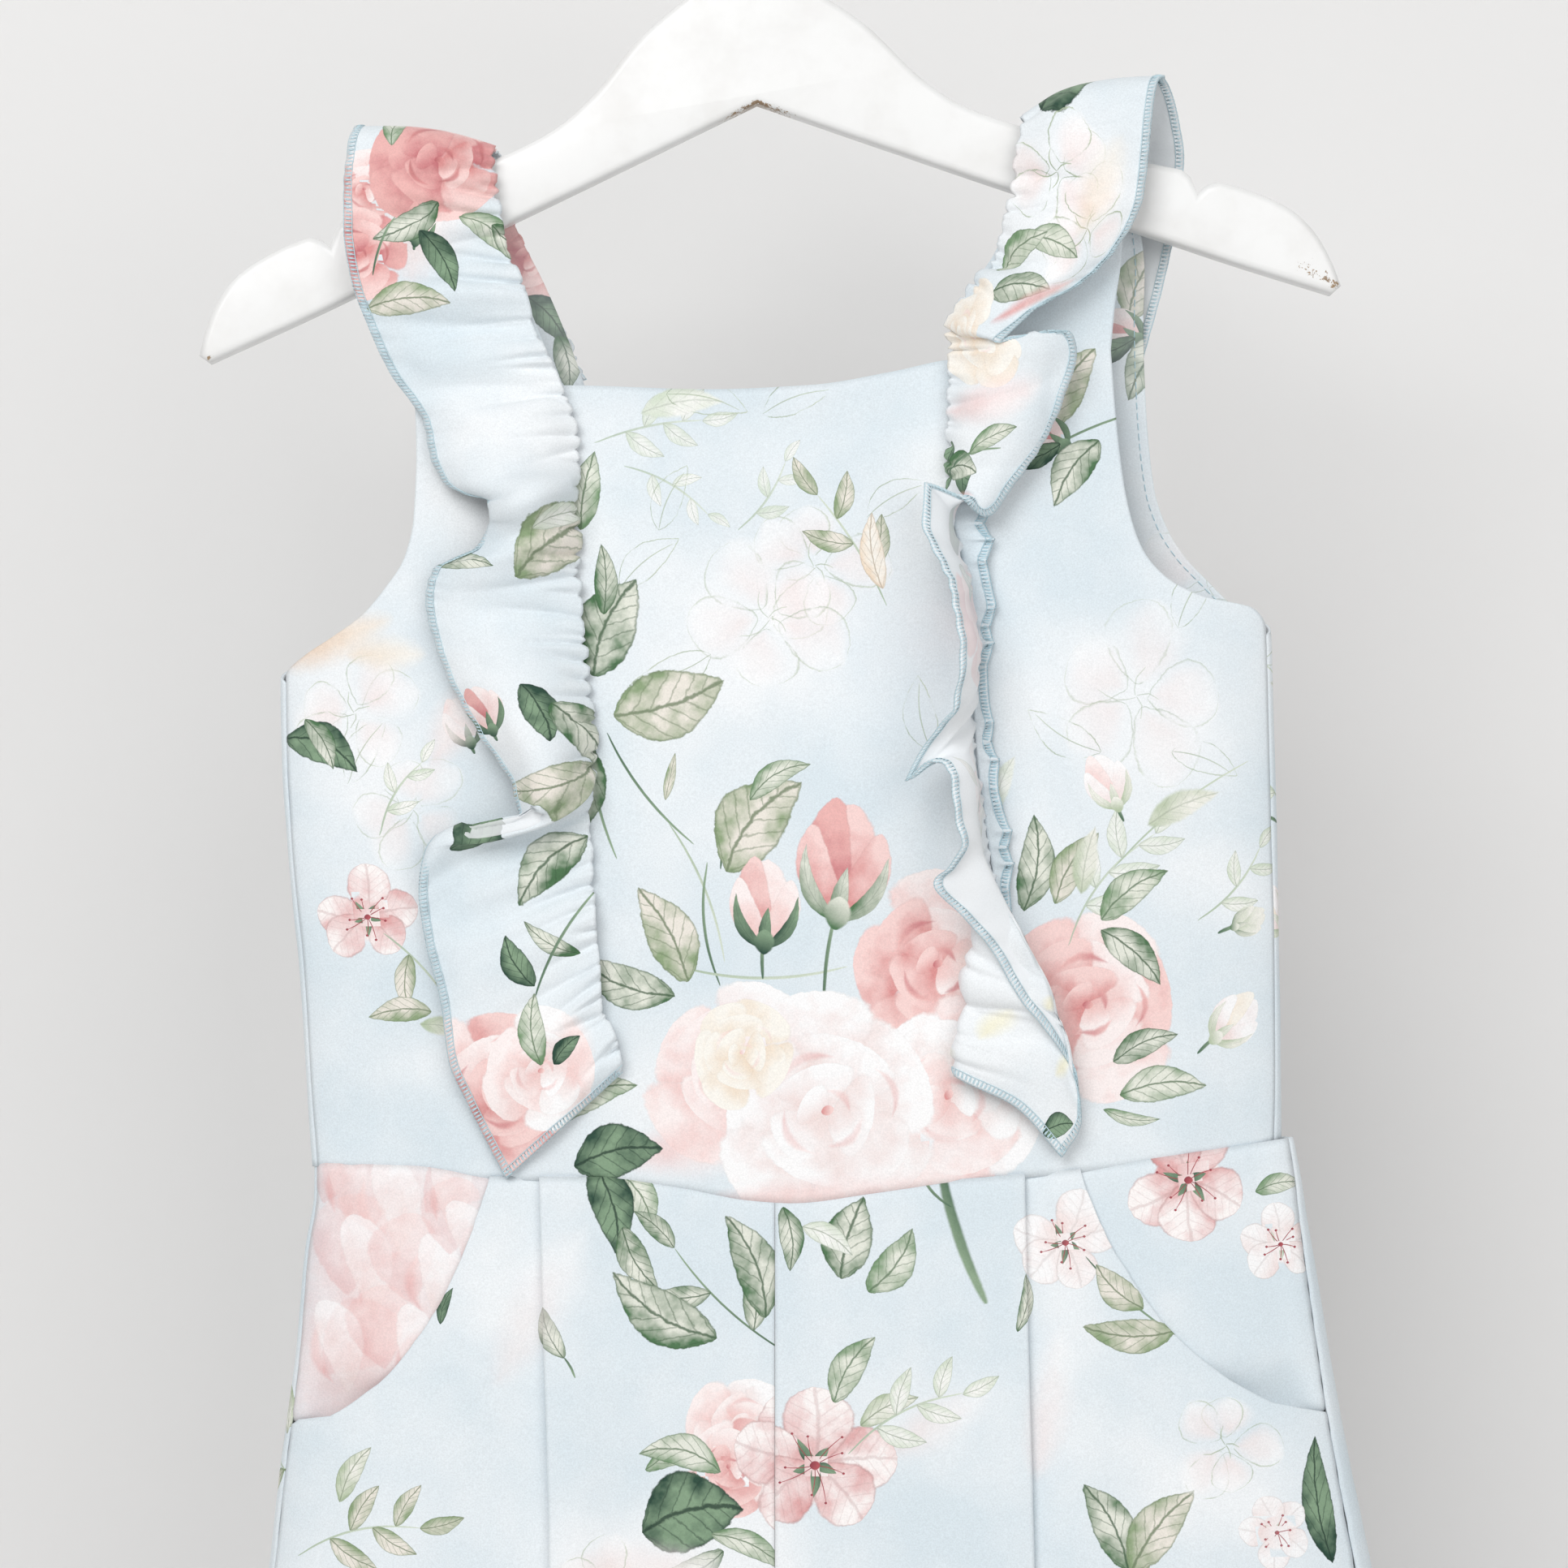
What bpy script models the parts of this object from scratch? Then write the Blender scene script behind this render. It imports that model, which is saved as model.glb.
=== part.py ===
# A child's short romper with two gathered shoulder ruffles, hung on a wooden hanger.
# Tables are in millimetres. +X is to the viewer's right, the front faces -Y, +Z is up.
# The origin is where the hook's wire bears on its rail, under the top of the wire.
import math
import bpy
import bmesh
import numpy as np

mm = 0.001

# Driving sizes
clothWall = 1.0            # wall of every cloth piece
seamGap = 0.3              # space between neighbouring pieces
hangerTilt = 3.5           # degrees, right end up
hangerThickness = 12.0
hangerBevel = 1.8
sharpestCorner = 0.6       # keeps the bevel's corners from running out at the notches
hookWire = 3.5
hookInnerRadius = 19.0
hookAngles = range(235, -31, -14)      # from the wire's free end, over the top, to the bend
hookLeave = (-7.3, -12.0)              # the way the bend sets off from the circle
stemTop = -50.0                        # where the straight stem starts
stemLead = 9.0                         # and how softly the bend runs into it
sideRoundness = 2.6        # exponent of the body's rounded section
sideRounding = 0.06        # share of the body's width that its side rounds off
crotchLevel = -650.0
hemLevel = -735.0
legGapAtHem = 14.0
hemWaves = 2.2             # soft flutes across each half of a leg
hemWaveHeight = 2.6
ruffleWidth = 47.0         # cloth from the sewn edge to the free edge
ruffleSteps = 80           # two for each gather
gatherDepth = 0.9          # half height of a gather at the sewn edge
gatherTaper = 0.75         # share of it lost at the free edge
gatherUnevenness = 0.2     # how far neighbouring gathers differ, as a share
gatherBeat = 1.7           # how fast they do, in radians a step
pocketOverlap = 12.0
pleatEase = 16.0           # the step at a pleat is lost this far from it
fineCells = (0.0, 0.8, 3.0, 8.0)   # columns near a side seam, where the section turns sharply
shoulderClear = 0.9        # from the hanger's wood to the strap's mid-wall
centreBackX = 16.0
highestBulge = 12.0        # of a flat ruffle between its edges
shoulderFlattening = 0.75  # the share of the bulge lost where a ruffle lies over the shoulder

# Points that smooth lines are read at before they are spread into cells
sectionSamples = 160
profileSamples = 60
ringSamples = 400


def table(names, rows):
    return dict(zip(names.split(), np.array(rows, dtype=float).T))


# The hanger, right half, in its own untilted frame: a is outward, b is up
hangerTop = table("a b", [
    (5, -58), (14, -61.5), (22, -67.3), (31, -74), (37.4, -79.6), (43, -86), (50, -93.7),
    (61, -102.6), (71.6, -108), (84, -112.6), (102, -119), (121, -125.6), (130, -128),
    (132.6, -130.5), (134.4, -136), (137, -133.6), (141, -132.5), (148, -134.7), (157, -138.8),
    (164, -143.3), (170.6, -151), (175, -160.5), (177, -167)])
hangerUnderside = table("a b", [
    (174, -169.4), (144, -158), (120, -148.3), (78.5, -132), (31, -112.5)])
hangerApex = -99.6

# The waist seam of the front, and the neckline carried on along its slope to both armholes
waistSeam = table("x z", [
    (-131, -428.4), (-100, -428.9), (-76, -432), (-40, -432.2), (-18, -434.5), (4, -438.2),
    (17, -439), (41, -436.2), (64, -433.3), (106, -429.6), (144, -424.4), (170, -420.8)])
neckline = table("x z", [
    (-140, -192.4), (-99.5, -190), (-54.6, -187), (-9.5, -188.3), (23, -186.9), (47, -183),
    (66.6, -179), (115.4, -176), (165, -173)])
backWaist = {"level": -424.7, "slope": 0.0245, "middle": 18.0, "halfWidth": 150.0, "dip": 3.0}
backNeckDrop = 4.0
backNeckShift = 8.0

# Body sections from the waist (share 0) to the neckline (share 1):
# the silhouette on each side, half the depth, and how far the back lies to the right
bodySections = table("share left right depth backShift", [
    (0.00, -131.4, 168.4, 14.5, 0), (0.12, -133.4, 168.2, 15.5, 0), (0.27, -135.6, 167.6, 16.0, 0),
    (0.39, -138.4, 166.9, 16.0, 0), (0.53, -140.6, 166.0, 15.5, 0), (0.655, -141.2, 165.0, 14.5, 0),
    (0.73, -139.0, 162.0, 13.5, 2.5), (0.80, -134.0, 156.0, 12.5, 5.0), (1.00, -124.0, 146.0, 10.0, 8.5)])
underarmShare = 0.66       # the armhole starts above it
bodyRows = [0, .12, .24, .36, .48, .58, .645, .668, .69, .718, .753, .79, .86, .93, 1]

# Cut edges of the front: side seam up to the underarm, then the armhole
frontLeftEdge = table("share x", [
    (0, -129.6), (.12, -131.8), (.27, -133.9), (.39, -136.8), (.53, -139), (.645, -139.4),
    (.668, -133.8), (.69, -125.4), (.718, -115.7), (.753, -108.4), (.79, -102.6), (.84, -99.8),
    (.925, -99), (1, -99.5)])
frontRightEdge = table("share x", [
    (0, 165.8), (.12, 166.2), (.27, 165.8), (.39, 165), (.53, 164.1), (.645, 163.4),
    (.668, 160), (.69, 143), (.718, 132), (.753, 125.2), (.79, 121.8), (.84, 119.2), (.925, 116.8),
    (1, 115.4)])
backLeftEdge = table("share x", [
    (.645, -140), (.668, -136.5), (.69, -128), (.718, -118), (.753, -109.5), (.79, -101),
    (.84, -95.5), (.925, -91.5), (1, -91)])
backRightEdge = table("share x", [
    (.645, 164.6), (.668, 161), (.69, 153.5), (.718, 147), (.753, 139.5), (.79, 134),
    (.84, 130), (.925, 127.6), (1, 126.6)])
# Lines that the ruffles are sewn along, which are also the straps' inner edges
leftSewnLine = table("share x", [
    (0, -33.5), (.17, -38), (.33, -44), (.5, -46.5), (.68, -48.2), (.8, -50.4), (1, -54.6)])
rightSewnLine = table("share x", [
    (0, 86), (.15, 84), (.33, 81), (.5, 75), (.75, 71), (.9, 67), (1, 66.6)])
# Straps, from the neckline (climb 0) to the underside of the bend over the hanger (climb 1)
leftStrap = table("climb inner outer backInner backOuter", [
    (0, -54.6, -99.5, -46, -91), (.25, -61.5, -101.5, -53, -93), (.5, -68, -104, -60.5, -97),
    (.75, -73.5, -106.5, -68.5, -102.5), (1, -76, -108, -75, -107.5)])
rightStrap = table("climb inner outer backInner backOuter", [
    (0, 66.6, 115.4, 75, 126.6), (.25, 71, 116.7, 79, 126.4), (.5, 80.5, 118.6, 86, 126.8),
    (.75, 85.9, 119.4, 88.5, 125.5), (1, 89, 120, 89.5, 121)])
strapClimbs = [.25, .5, .75, 1]
bendAngles = [22, 45, 68, 88.5]
bendBelowTop = 6.0
bendSquareness = 0.45      # power of the sine and cosine that makes the bend fit a square bar

# Legs: silhouette and half depth at each level, both sides
legSections = table("z left right depth", [
    (-420, -130.6, 168.6, 14.5), (-440, -130.8, 174.0, 15.5), (-457, -133.6, 177.0, 16.5),
    (-488, -136.6, 183.0, 18.0), (-524, -141.4, 190.4, 19.0), (-551, -144.4, 196.0, 20.0),
    (-650, -157.0, 214.0, 22.0), (-740, -170.0, 231.0, 24.0)])
legRows = [-432, -444, -457, -470, -481, -490, -498, -503, -506.5, -509, -522, -545, -570, -592,
           -614, -632, -644, -651, -668, -700, -735]
waistFade = 90.0           # the waist seam's curve is lost this far below it
crotchCurl = 62.0          # the seat starts to curl under this far above the crotch
seamAhead = 3.0            # the side seam lies this far in front of the silhouette
backSeamDepth = 4.0        # behind it the leg's top follows the back's waist seam
centreSeam = table("z x", [(-435, 11.7), (-551, 11.7), (-650, 12), (-735, 12)])
wavePhase = {"front": 0.4, "back": 2.1, "side": 0.12}
leftPocket = table("z x", [
    (-432.3, -76.1), (-438.2, -78.4), (-448.2, -81.8), (-459.3, -86.3), (-469.4, -91.3),
    (-480.5, -98.5), (-491.7, -107.4), (-497.9, -115.3), (-504, -124.1), (-507.9, -132)])
rightPocket = table("z x", [
    (-429.8, 105.7), (-440.8, 110.3), (-451.7, 115), (-461.3, 121.2), (-468.6, 126),
    (-477.7, 133.3), (-485.5, 141.8), (-492.9, 151.5), (-498.9, 162.3), (-505.5, 177)])
# Pleats: the fold's line, how far the cloth runs under it, and the space between its layers
leftPleat = table("z x under pitch", [
    (-432, -60.5, 12, 1.5), (-551, -57.1, 11, 1.8), (-650, -56, 9, 2.3), (-735, -55, 7, 3.0)])
rightPleat = table("z x under pitch", [
    (-430, 88.2, 12, 1.5), (-551, 90.9, 11, 1.8), (-650, 93, 9, 2.3), (-735, 95, 7, 3.0)])
pleatTail = 1.5            # the side cloth's flat start, outside the fold's line
pleatTopShare = 0.6        # the top layer's flat start, as a share of the under layer
facingRows = [-432, -448, -464, -480, -490, -498, -506, -519]
facingTuck = -478.0        # below this the hip piece turns in behind the front
facingDrop = 3.8           # and lies this much deeper
facingTuckEase = 14.0      # both are reached this far below
facingSideEase = 12.0      # and the side seam's edge sinks behind the front over this width
facingInset = 4.5          # its edge turned in from the side seam there
facingSink = 1.5           # from the front's mid-wall to its own, a wall and a seam gap and a little more
facingReach = 0.6          # how far it goes on under the front, as a share of the overlap
steepest = 2.4             # where the side turns away, it sinks along the slope up to this much more

# Ruffles, from the lower end up over the shoulder (turn 0 front, 90 top, 180 back):
# sewn edge, free edge and the free edge's height off the cloth under it
leftRuffle = table("rootX rootZ edgeX edgeZ lift turn", [
    (-35.3, -398.5, -70.8, -431, 2, 0), (-37.8, -388, -77.5, -418.3, 2.5, 0),
    (-42.3, -377.3, -83.3, -406.5, 4, 0), (-42.8, -367, -88, -395.5, 5, 0),
    (-44, -356, -90.6, -377, 4, 0), (-44.6, -342, -95.6, -357, 4, 0),
    (-45, -331, -97.3, -343, 6, 0), (-46, -322, -95, -329.5, 6, 0),
    (-46.3, -315, -87, -325.2, 5, 0), (-46.5, -310, -75.5, -325.6, 5, 0),
    (-46.5, -306, -66.2, -320.5, 9, 0), (-46.5, -301, -68, -310.5, 10, 0),
    (-45.8, -292, -78.3, -295, 7, 0), (-47.5, -276, -89, -275.5, 5, 0),
    (-48.8, -258, -95.3, -253.5, 5, 0), (-50.3, -244, -92.4, -243.4, 6, 0),
    (-50.5, -236, -80.5, -237.6, 7, 0), (-50.6, -229.5, -73.6, -229.6, 10, 0),
    (-51.4, -222, -75.5, -222.8, 10, 0), (-50.7, -214, -88, -218.8, 6, 0),
    (-49.6, -206, -94.2, -208.5, 4, 0), (-52, -197, -96, -199, 3, 0),
    (-56.2, -184, -106.5, -183.5, 4, 0), (-62, -172, -112.6, -170.5, 7, 0),
    (-67.5, -155, -118.6, -153.5, 9, 0), (-72.8, -141, -120.7, -138, 8, 0),
    (-75.6, -127, -120.6, -124.5, 6, 8), (-76.2, -118, -119.9, -116.5, 5, 24),
    (-76.2, -115.2, -119, -110, 5, 52), (-76.0, -114, -117.4, -107, 5, 90),
    (-75.9, -115.2, -115, -109, 5, 128), (-75.6, -118, -113.5, -114, 5, 156),
    (-74.8, -127, -112, -122, 6, 172), (-70, -142, -108, -139, 6, 180),
    (-62, -158, -103, -158, 5, 180), (-54, -174, -97, -176, 4, 180),
    (-49, -184, -92, -188, 3, 180)])
# The right one also has two folds between its edges, at the given points and heights
rightRuffle = table("rootX rootZ foldX foldZ foldLift backX backZ backLift edgeX edgeZ lift turn", [
    (83, -396, 68.4, -399.5, 5, 86, -409, 4.5, 99.7, -424.3, 3.5, 0),
    (82.6, -385, 69.0, -391, 5.5, 95, -396, 6, 105.6, -413, 4.5, 0),
    (82.2, -374, 70.5, -380, 6, 98.5, -384, 7.5, 104.4, -400, 6.5, 0),
    (81.8, -365, 72.6, -370, 7, 97.5, -376, 9.5, 96.8, -387.5, 10.5, 0),
    (81.4, -356, 74.0, -361, 8.5, 94.2, -366, 11.5, 87.5, -376, 13.5, 0),
    (80.6, -347, 75.8, -351, 9.5, 88.6, -355, 13.5, 78.2, -360.5, 16, 0),
    (79.6, -339, 75.8, -341, 10.5, 82, -345, 16, 68.4, -349.5, 19, 0),
    (78.6, -332, 75.2, -333.5, 11, 76.5, -336, 19, 60.2, -340.5, 22, 0),
    (77.6, -326.5, 75.5, -328, 10, 75, -331, 19, 64.5, -335.6, 24, 0),
    (76.8, -321, 75.8, -322, 9, 75.2, -325, 19, 69.6, -329, 26, 0),
    (75.8, -313, 75.6, -313.5, 9, 74.6, -315, 19, 67.3, -318.5, 27, 0),
    (74.8, -305, 74.4, -305.5, 9, 71.6, -306, 19, 64.4, -306.5, 25, 0),
    (74.2, -298.5, 72.6, -299, 9, 67.6, -301.5, 19, 60, -303.6, 22, 0),
    (73.8, -293, 72.2, -293.5, 9, 64.5, -299, 18, 51.4, -309, 19, 0),
    (73.6, -287, 73.2, -287.5, 10, 68.5, -291, 18, 58.5, -296.5, 21, 0),
    (73.4, -278, 74.2, -278, 10, 72.6, -280, 19, 66, -286.5, 25, 0),
    (73.0, -264, 74.6, -264, 10, 73.4, -264.5, 20, 67.5, -266, 27, 0),
    (72.2, -252, 73.8, -252, 9, 72, -252, 19, 66.4, -250, 26, 0),
    (70.4, -243, 71.4, -243, 9, 68.8, -242.5, 18, 61.6, -240.6, 24, 0),
    (68.6, -235, 68.6, -234.5, 8, 64.6, -233.5, 16, 57, -230, 20, 0),
    (67.2, -228.5, 67.6, -227, 7, 65, -225.5, 13, 58, -217.8, 15, 0),
    (66.5, -222, 69.5, -222.5, 6, 70.2, -223.5, 10, 67, -221.5, 12, 0),
    (66.2, -216, 70, -219, 6, 73.5, -222.5, 9, 76.2, -227.9, 9, 0),
    (66.2, -208, 71.8, -211, 7, 78.5, -214.5, 10, 84, -219.2, 8, 0),
    (66.5, -197, 76, -200.5, 9, 85.5, -204, 11, 93, -206, 8, 0),
    (67.2, -186, 79.5, -188, 11, 91, -190, 12, 99.6, -192.4, 8, 0),
    (67.4, -178, 79.5, -178.5, 11, 92, -178.5, 13, 104, -177, 10, 0),
    (66.4, -172.5, 75, -173, 10, 87, -172.8, 14, 100.5, -170.8, 13, 0),
    (66.4, -168.5, 70.5, -170.2, 9, 75.5, -172.5, 14, 80.6, -174.8, 15, 0),
    (69.5, -162.5, 74.5, -165.2, 8, 81.5, -167.4, 13, 91, -165, 13, 0),
    (76.5, -154.5, 84, -157.2, 9, 93, -158.6, 12, 105.5, -156.2, 9, 0),
    (82.5, -142.5, 93, -146.5, 9, 105, -147.8, 11, 117.3, -144.2, 8, 0),
    (85.8, -130, 98, -131, 9, 111, -131.5, 10, 124.5, -129.5, 8, 0),
    (87.6, -117, 100, -116, 9, 113, -114.5, 9, 126.6, -112.5, 8, 8),
    (88.8, -108, 100.5, -106, 8, 113.5, -105, 8, 127.6, -103, 7, 24),
    (89.6, -105.2, 101, -99.5, 7, 114, -96.5, 7, 129.4, -94, 6, 52),
    (90.0, -104, 102, -96.6, 6, 116, -92.8, 6, 132.4, -91, 5, 90),
    (90.2, -105.2, 103.5, -99, 6, 118.5, -96, 6, 135.4, -95, 5, 128),
    (90.2, -108, 104.5, -105, 6, 120, -103, 6, 137.8, -104, 5, 156),
    (89.8, -117, 106, -114, 7, 122, -113, 7, 139.2, -114, 5, 172),
    (89.2, -130, 105, -130, 7, 121, -129.5, 7, 137.5, -130.5, 5, 180),
    (87, -146, 103, -147.5, 6, 119, -149, 6, 133.5, -150.5, 4, 180),
    (82, -162, 98, -165, 5, 114, -167.5, 5, 128.5, -169.5, 4, 180),
    (77, -174, 93, -177, 5, 109, -179.5, 5, 125.2, -181.5, 3, 180)])

materials = {
    "printed_crepe": ((0.76, 0.83, 0.87), 0.75, 0.0),
    "white_paint": ((0.93, 0.93, 0.92), 0.35, 0.0),
    "steel_wire": ((0.62, 0.62, 0.63), 0.3, 1.0),
}


# A smooth curve through a table's points, with no overshoot between them
def curve(xs, ys):
    order = np.argsort(xs)
    xs = np.asarray(xs, float)[order]
    ys = np.asarray(ys, float)[order]
    steps = np.diff(ys) / np.diff(xs)
    slopes = np.zeros(len(xs))
    slopes[0] = steps[0]
    slopes[-1] = steps[-1]
    for i in range(1, len(xs) - 1):
        if steps[i - 1] * steps[i] > 0:
            slopes[i] = 2 * steps[i - 1] * steps[i] / (steps[i - 1] + steps[i])

    def value(x):
        x = np.clip(x, xs[0], xs[-1])
        i = np.clip(np.searchsorted(xs, x) - 1, 0, len(xs) - 2)
        h = xs[i + 1] - xs[i]
        t = (x - xs[i]) / h
        rise = ys[i + 1] - ys[i]
        return (ys[i] + t * h * slopes[i] + t * t * (3 * rise - h * (2 * slopes[i] + slopes[i + 1]))
                + t ** 3 * (h * (slopes[i] + slopes[i + 1]) - 2 * rise))
    return value


def curves(rows, key, *names):
    return [curve(rows[key], rows[name]) for name in names]


def ease(t):
    t = min(max(t, 0.0), 1.0)
    return t * t * (3 - 2 * t)


waistAt = curve(waistSeam["x"], waistSeam["z"])
neckAt = curve(neckline["x"], neckline["z"])
bodyLeft, bodyRight, bodyDepth, backShift = curves(
    bodySections, "share", "left", "right", "depth", "backShift")
legLeft, legRight, legDepth = curves(legSections, "z", "left", "right", "depth")
centreSeamAt = curve(centreSeam["z"], centreSeam["x"])
tiltCos = math.cos(math.radians(hangerTilt))
tiltSin = math.sin(math.radians(hangerTilt))


# Height of the tilted hanger's upper edge above any x
def makeArmTop():
    a = np.concatenate([-hangerTop["a"][::-1], hangerTop["a"]])
    b = np.concatenate([hangerTop["b"][::-1], hangerTop["b"]])
    return lambda x: float(np.interp(x, a * tiltCos - b * tiltSin, a * tiltSin + b * tiltCos))


armTop = makeArmTop()
strapDepth = hangerThickness / 2 + shoulderClear


def backWaistAt(x):
    off = x - backWaist["middle"]
    dip = backWaist["dip"] * max(0.0, 1 - (off / backWaist["halfWidth"]) ** 2)
    return backWaist["level"] + backWaist["slope"] * off - dip


def backNeckAt(x):
    return neckAt(x - backNeckShift) - backNeckDrop


def levelInBody(x, share, isBack):
    waist = backWaistAt(x) if isBack else waistAt(x)
    neck = backNeckAt(x) if isBack else neckAt(x)
    return waist + (neck - waist) * share


# Half depth of the body's rounded section at x, from 0 at the silhouette
def sectionDepth(x, left, right, depth):
    t = min(abs(x - (left + right) / 2) / ((right - left) / 2), 1.0)
    return depth * (1 - t ** sideRoundness) ** (1 / sideRoundness)


# Distance of the mid-wall from the middle plane at any point of the bodice or strap,
# held level past the rounding of each side so that what lies there doesn't fall away
def clothDepth(x, z):
    waist = waistAt(x)
    neck = neckAt(x)
    share = min(max((z - waist) / (neck - waist), 0.0), 1.0)
    left, right = bodyLeft(share), bodyRight(share)
    inset = sideRounding * (right - left)
    body = sectionDepth(min(max(x, left + inset), right - inset), left, right, bodyDepth(share))
    climb = (z - neck) / max(armTop(x) - bendBelowTop - neck, 1.0)
    return body + (strapDepth - body) * ease(climb)


# A closed wall from a grid of mid-wall points; cells that are False are left out
def wallMesh(name, grid, present=None, limit=None):
    rows, columns = grid.shape[:2]
    if present is None:
        present = np.ones((rows - 1, columns - 1), bool)
    normals = np.zeros_like(grid)
    for i, j in zip(*np.nonzero(present)):
        across = grid[i + 1, j + 1] - grid[i, j]
        along = grid[i + 1, j] - grid[i, j + 1]
        face = np.cross(across, along)
        face = face / max(np.linalg.norm(face), 1e-9)
        for corner in ((i, j), (i + 1, j), (i, j + 1), (i + 1, j + 1)):
            normals[corner] += face
    length = np.linalg.norm(normals, axis=2, keepdims=True)
    normals = normals / np.where(length > 0, length, 1)
    skins = [grid + normals * clothWall / 2, grid - normals * clothWall / 2]
    if limit is not None:
        skins = [limit(skin) for skin in skins]
    mesh = bmesh.new()
    corners = [{}, {}]

    def corner(side, i, j):
        if (i, j) not in corners[side]:
            corners[side][i, j] = mesh.verts.new(skins[side][i, j] * mm)
        return corners[side][i, j]

    for i, j in zip(*np.nonzero(present)):
        ring = [(i, j), (i, j + 1), (i + 1, j + 1), (i + 1, j)]
        mesh.faces.new([corner(0, *place) for place in ring])
        mesh.faces.new([corner(1, *place) for place in reversed(ring)])
        neighbours = [(i - 1, j), (i, j + 1), (i + 1, j), (i, j - 1)]
        for side, (ni, nj) in enumerate(neighbours):
            inside = 0 <= ni < rows - 1 and 0 <= nj < columns - 1 and present[ni, nj]
            if not inside:
                one, two = ring[side], ring[(side + 1) % 4]
                mesh.faces.new([corner(0, *two), corner(0, *one), corner(1, *one), corner(1, *two)])
    return addObject(name, mesh, "printed_crepe")


def material(name):
    found = bpy.data.materials.get(name)
    if found:
        return found
    colour, roughness, metallic = materials[name]
    found = bpy.data.materials.new(name)
    found.use_nodes = True
    shader = found.node_tree.nodes["Principled BSDF"]
    shader.inputs["Base Color"].default_value = (*colour, 1)
    shader.inputs["Roughness"].default_value = roughness
    shader.inputs["Metallic"].default_value = metallic
    return found


def addObject(name, mesh, materialName):
    bmesh.ops.recalc_face_normals(mesh, faces=mesh.faces)
    data = bpy.data.meshes.new(name)
    mesh.to_mesh(data)
    mesh.free()
    data.materials.append(material(materialName))
    made = bpy.data.objects.new(name, data)
    bpy.context.collection.objects.link(made)
    return made


# Strap rows past the neckline: up to the hanger, then round its upper edge to the shoulder seam
def strapRows(neckRow, edges, facing):
    rows = []
    for climb in strapClimbs:
        row = []
        for x0, depth0, x in zip(neckRow[:, 0], neckRow[:, 1], edges(climb)):
            start = neckAt(x) if facing < 0 else backNeckAt(x)
            z = start + (armTop(x) - bendBelowTop - start) * climb
            depth = abs(depth0) + (strapDepth - abs(depth0)) * ease(climb)
            row.append((x, facing * depth, z))
        rows.append(row)
    for angle in bendAngles:
        bend = math.radians(angle)
        out = strapDepth * math.cos(bend) ** bendSquareness
        up = (bendBelowTop + shoulderClear) * math.sin(bend) ** bendSquareness
        out = seamGap / 2 if angle == bendAngles[-1] else out
        rows.append([(x, facing * out, armTop(x) - bendBelowTop + up) for x in edges(1)])
    return np.array(rows)


def spread(start, end, count):
    return list(np.linspace(start, end, count + 1))


def bodiceFront():
    sideCells, middleCells = 7, 8
    leftEdge, rightEdge = curve(frontLeftEdge["share"], frontLeftEdge["x"]), curve(
        frontRightEdge["share"], frontRightEdge["x"])
    leftSewn, rightSewn = curve(leftSewnLine["share"], leftSewnLine["x"]), curve(
        rightSewnLine["share"], rightSewnLine["x"])
    grid = []
    for share in bodyRows:
        left, right, depth = bodyLeft(share), bodyRight(share), bodyDepth(share)
        stops = [sectionAngle(x, left, right, False) for x in
                 (leftEdge(share), leftSewn(share), rightSewn(share), rightEdge(share))]
        row = np.concatenate([
            sectionRun(left, right, depth, stops[0], stops[1], sideCells, fineStart=True),
            sectionRun(left, right, depth, stops[1], stops[2], middleCells)[1:],
            sectionRun(left, right, depth, stops[2], stops[3], sideCells, fineEnd=True)[1:]])
        grid.append([(x, y, levelInBody(x, share, False)) for x, y in row])
    grid = np.array(grid)
    leftInner, leftOuter = curves(leftStrap, "climb", "inner", "outer")
    rightInner, rightOuter = curves(rightStrap, "climb", "inner", "outer")

    def edges(climb):
        return (spread(leftOuter(climb), leftInner(climb), sideCells)
                + spread(leftInner(climb), rightInner(climb), middleCells)[1:]
                + spread(rightInner(climb), rightOuter(climb), sideCells)[1:])

    straps = strapRows(grid[-1], edges, -1)
    whole = np.concatenate([grid, straps])
    present = np.ones((len(whole) - 1, whole.shape[1] - 1), bool)
    present[len(grid) - 1:, sideCells:sideCells + middleCells] = False
    wallMesh("bodice_front", whole, present)


# Points along the body's section, from angle to angle, evenly spaced.
# The angle is 0 at the right silhouette, 90 at the back's middle, 180 at the left, 270 in front.
def sectionRun(left, right, depth, start, end, cells, **fine):
    angles = np.radians(np.linspace(start, end, sectionSamples))
    power = 2 / sideRoundness
    x = (left + right) / 2 + (right - left) / 2 * np.sign(np.cos(angles)) * np.abs(np.cos(angles)) ** power
    y = depth * np.sign(np.sin(angles)) * np.abs(np.sin(angles)) ** power
    return resample(np.stack([x, y], axis=1), cells, **fine)


def resample(points, cells, fineStart=False, fineEnd=False):
    walked = np.concatenate([[0], np.cumsum(np.linalg.norm(np.diff(points, axis=0), axis=1))])
    first = list(fineCells) if fineStart else [0.0]
    last = [walked[-1] - x for x in reversed(fineCells)] if fineEnd else [walked[-1]]
    stops = first + list(np.linspace(first[-1], last[0], cells + 3 - len(first) - len(last)))[1:-1] + last
    return np.stack([np.interp(stops, walked, points[:, k]) for k in range(points.shape[1])], axis=1)


def sectionAngle(x, left, right, isBack):
    t = min(max((x - (left + right) / 2) / ((right - left) / 2), -1.0), 1.0)
    turned = math.degrees(math.acos(math.copysign(abs(t) ** (sideRoundness / 2), t)))
    return turned if isBack else 360 - turned


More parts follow.
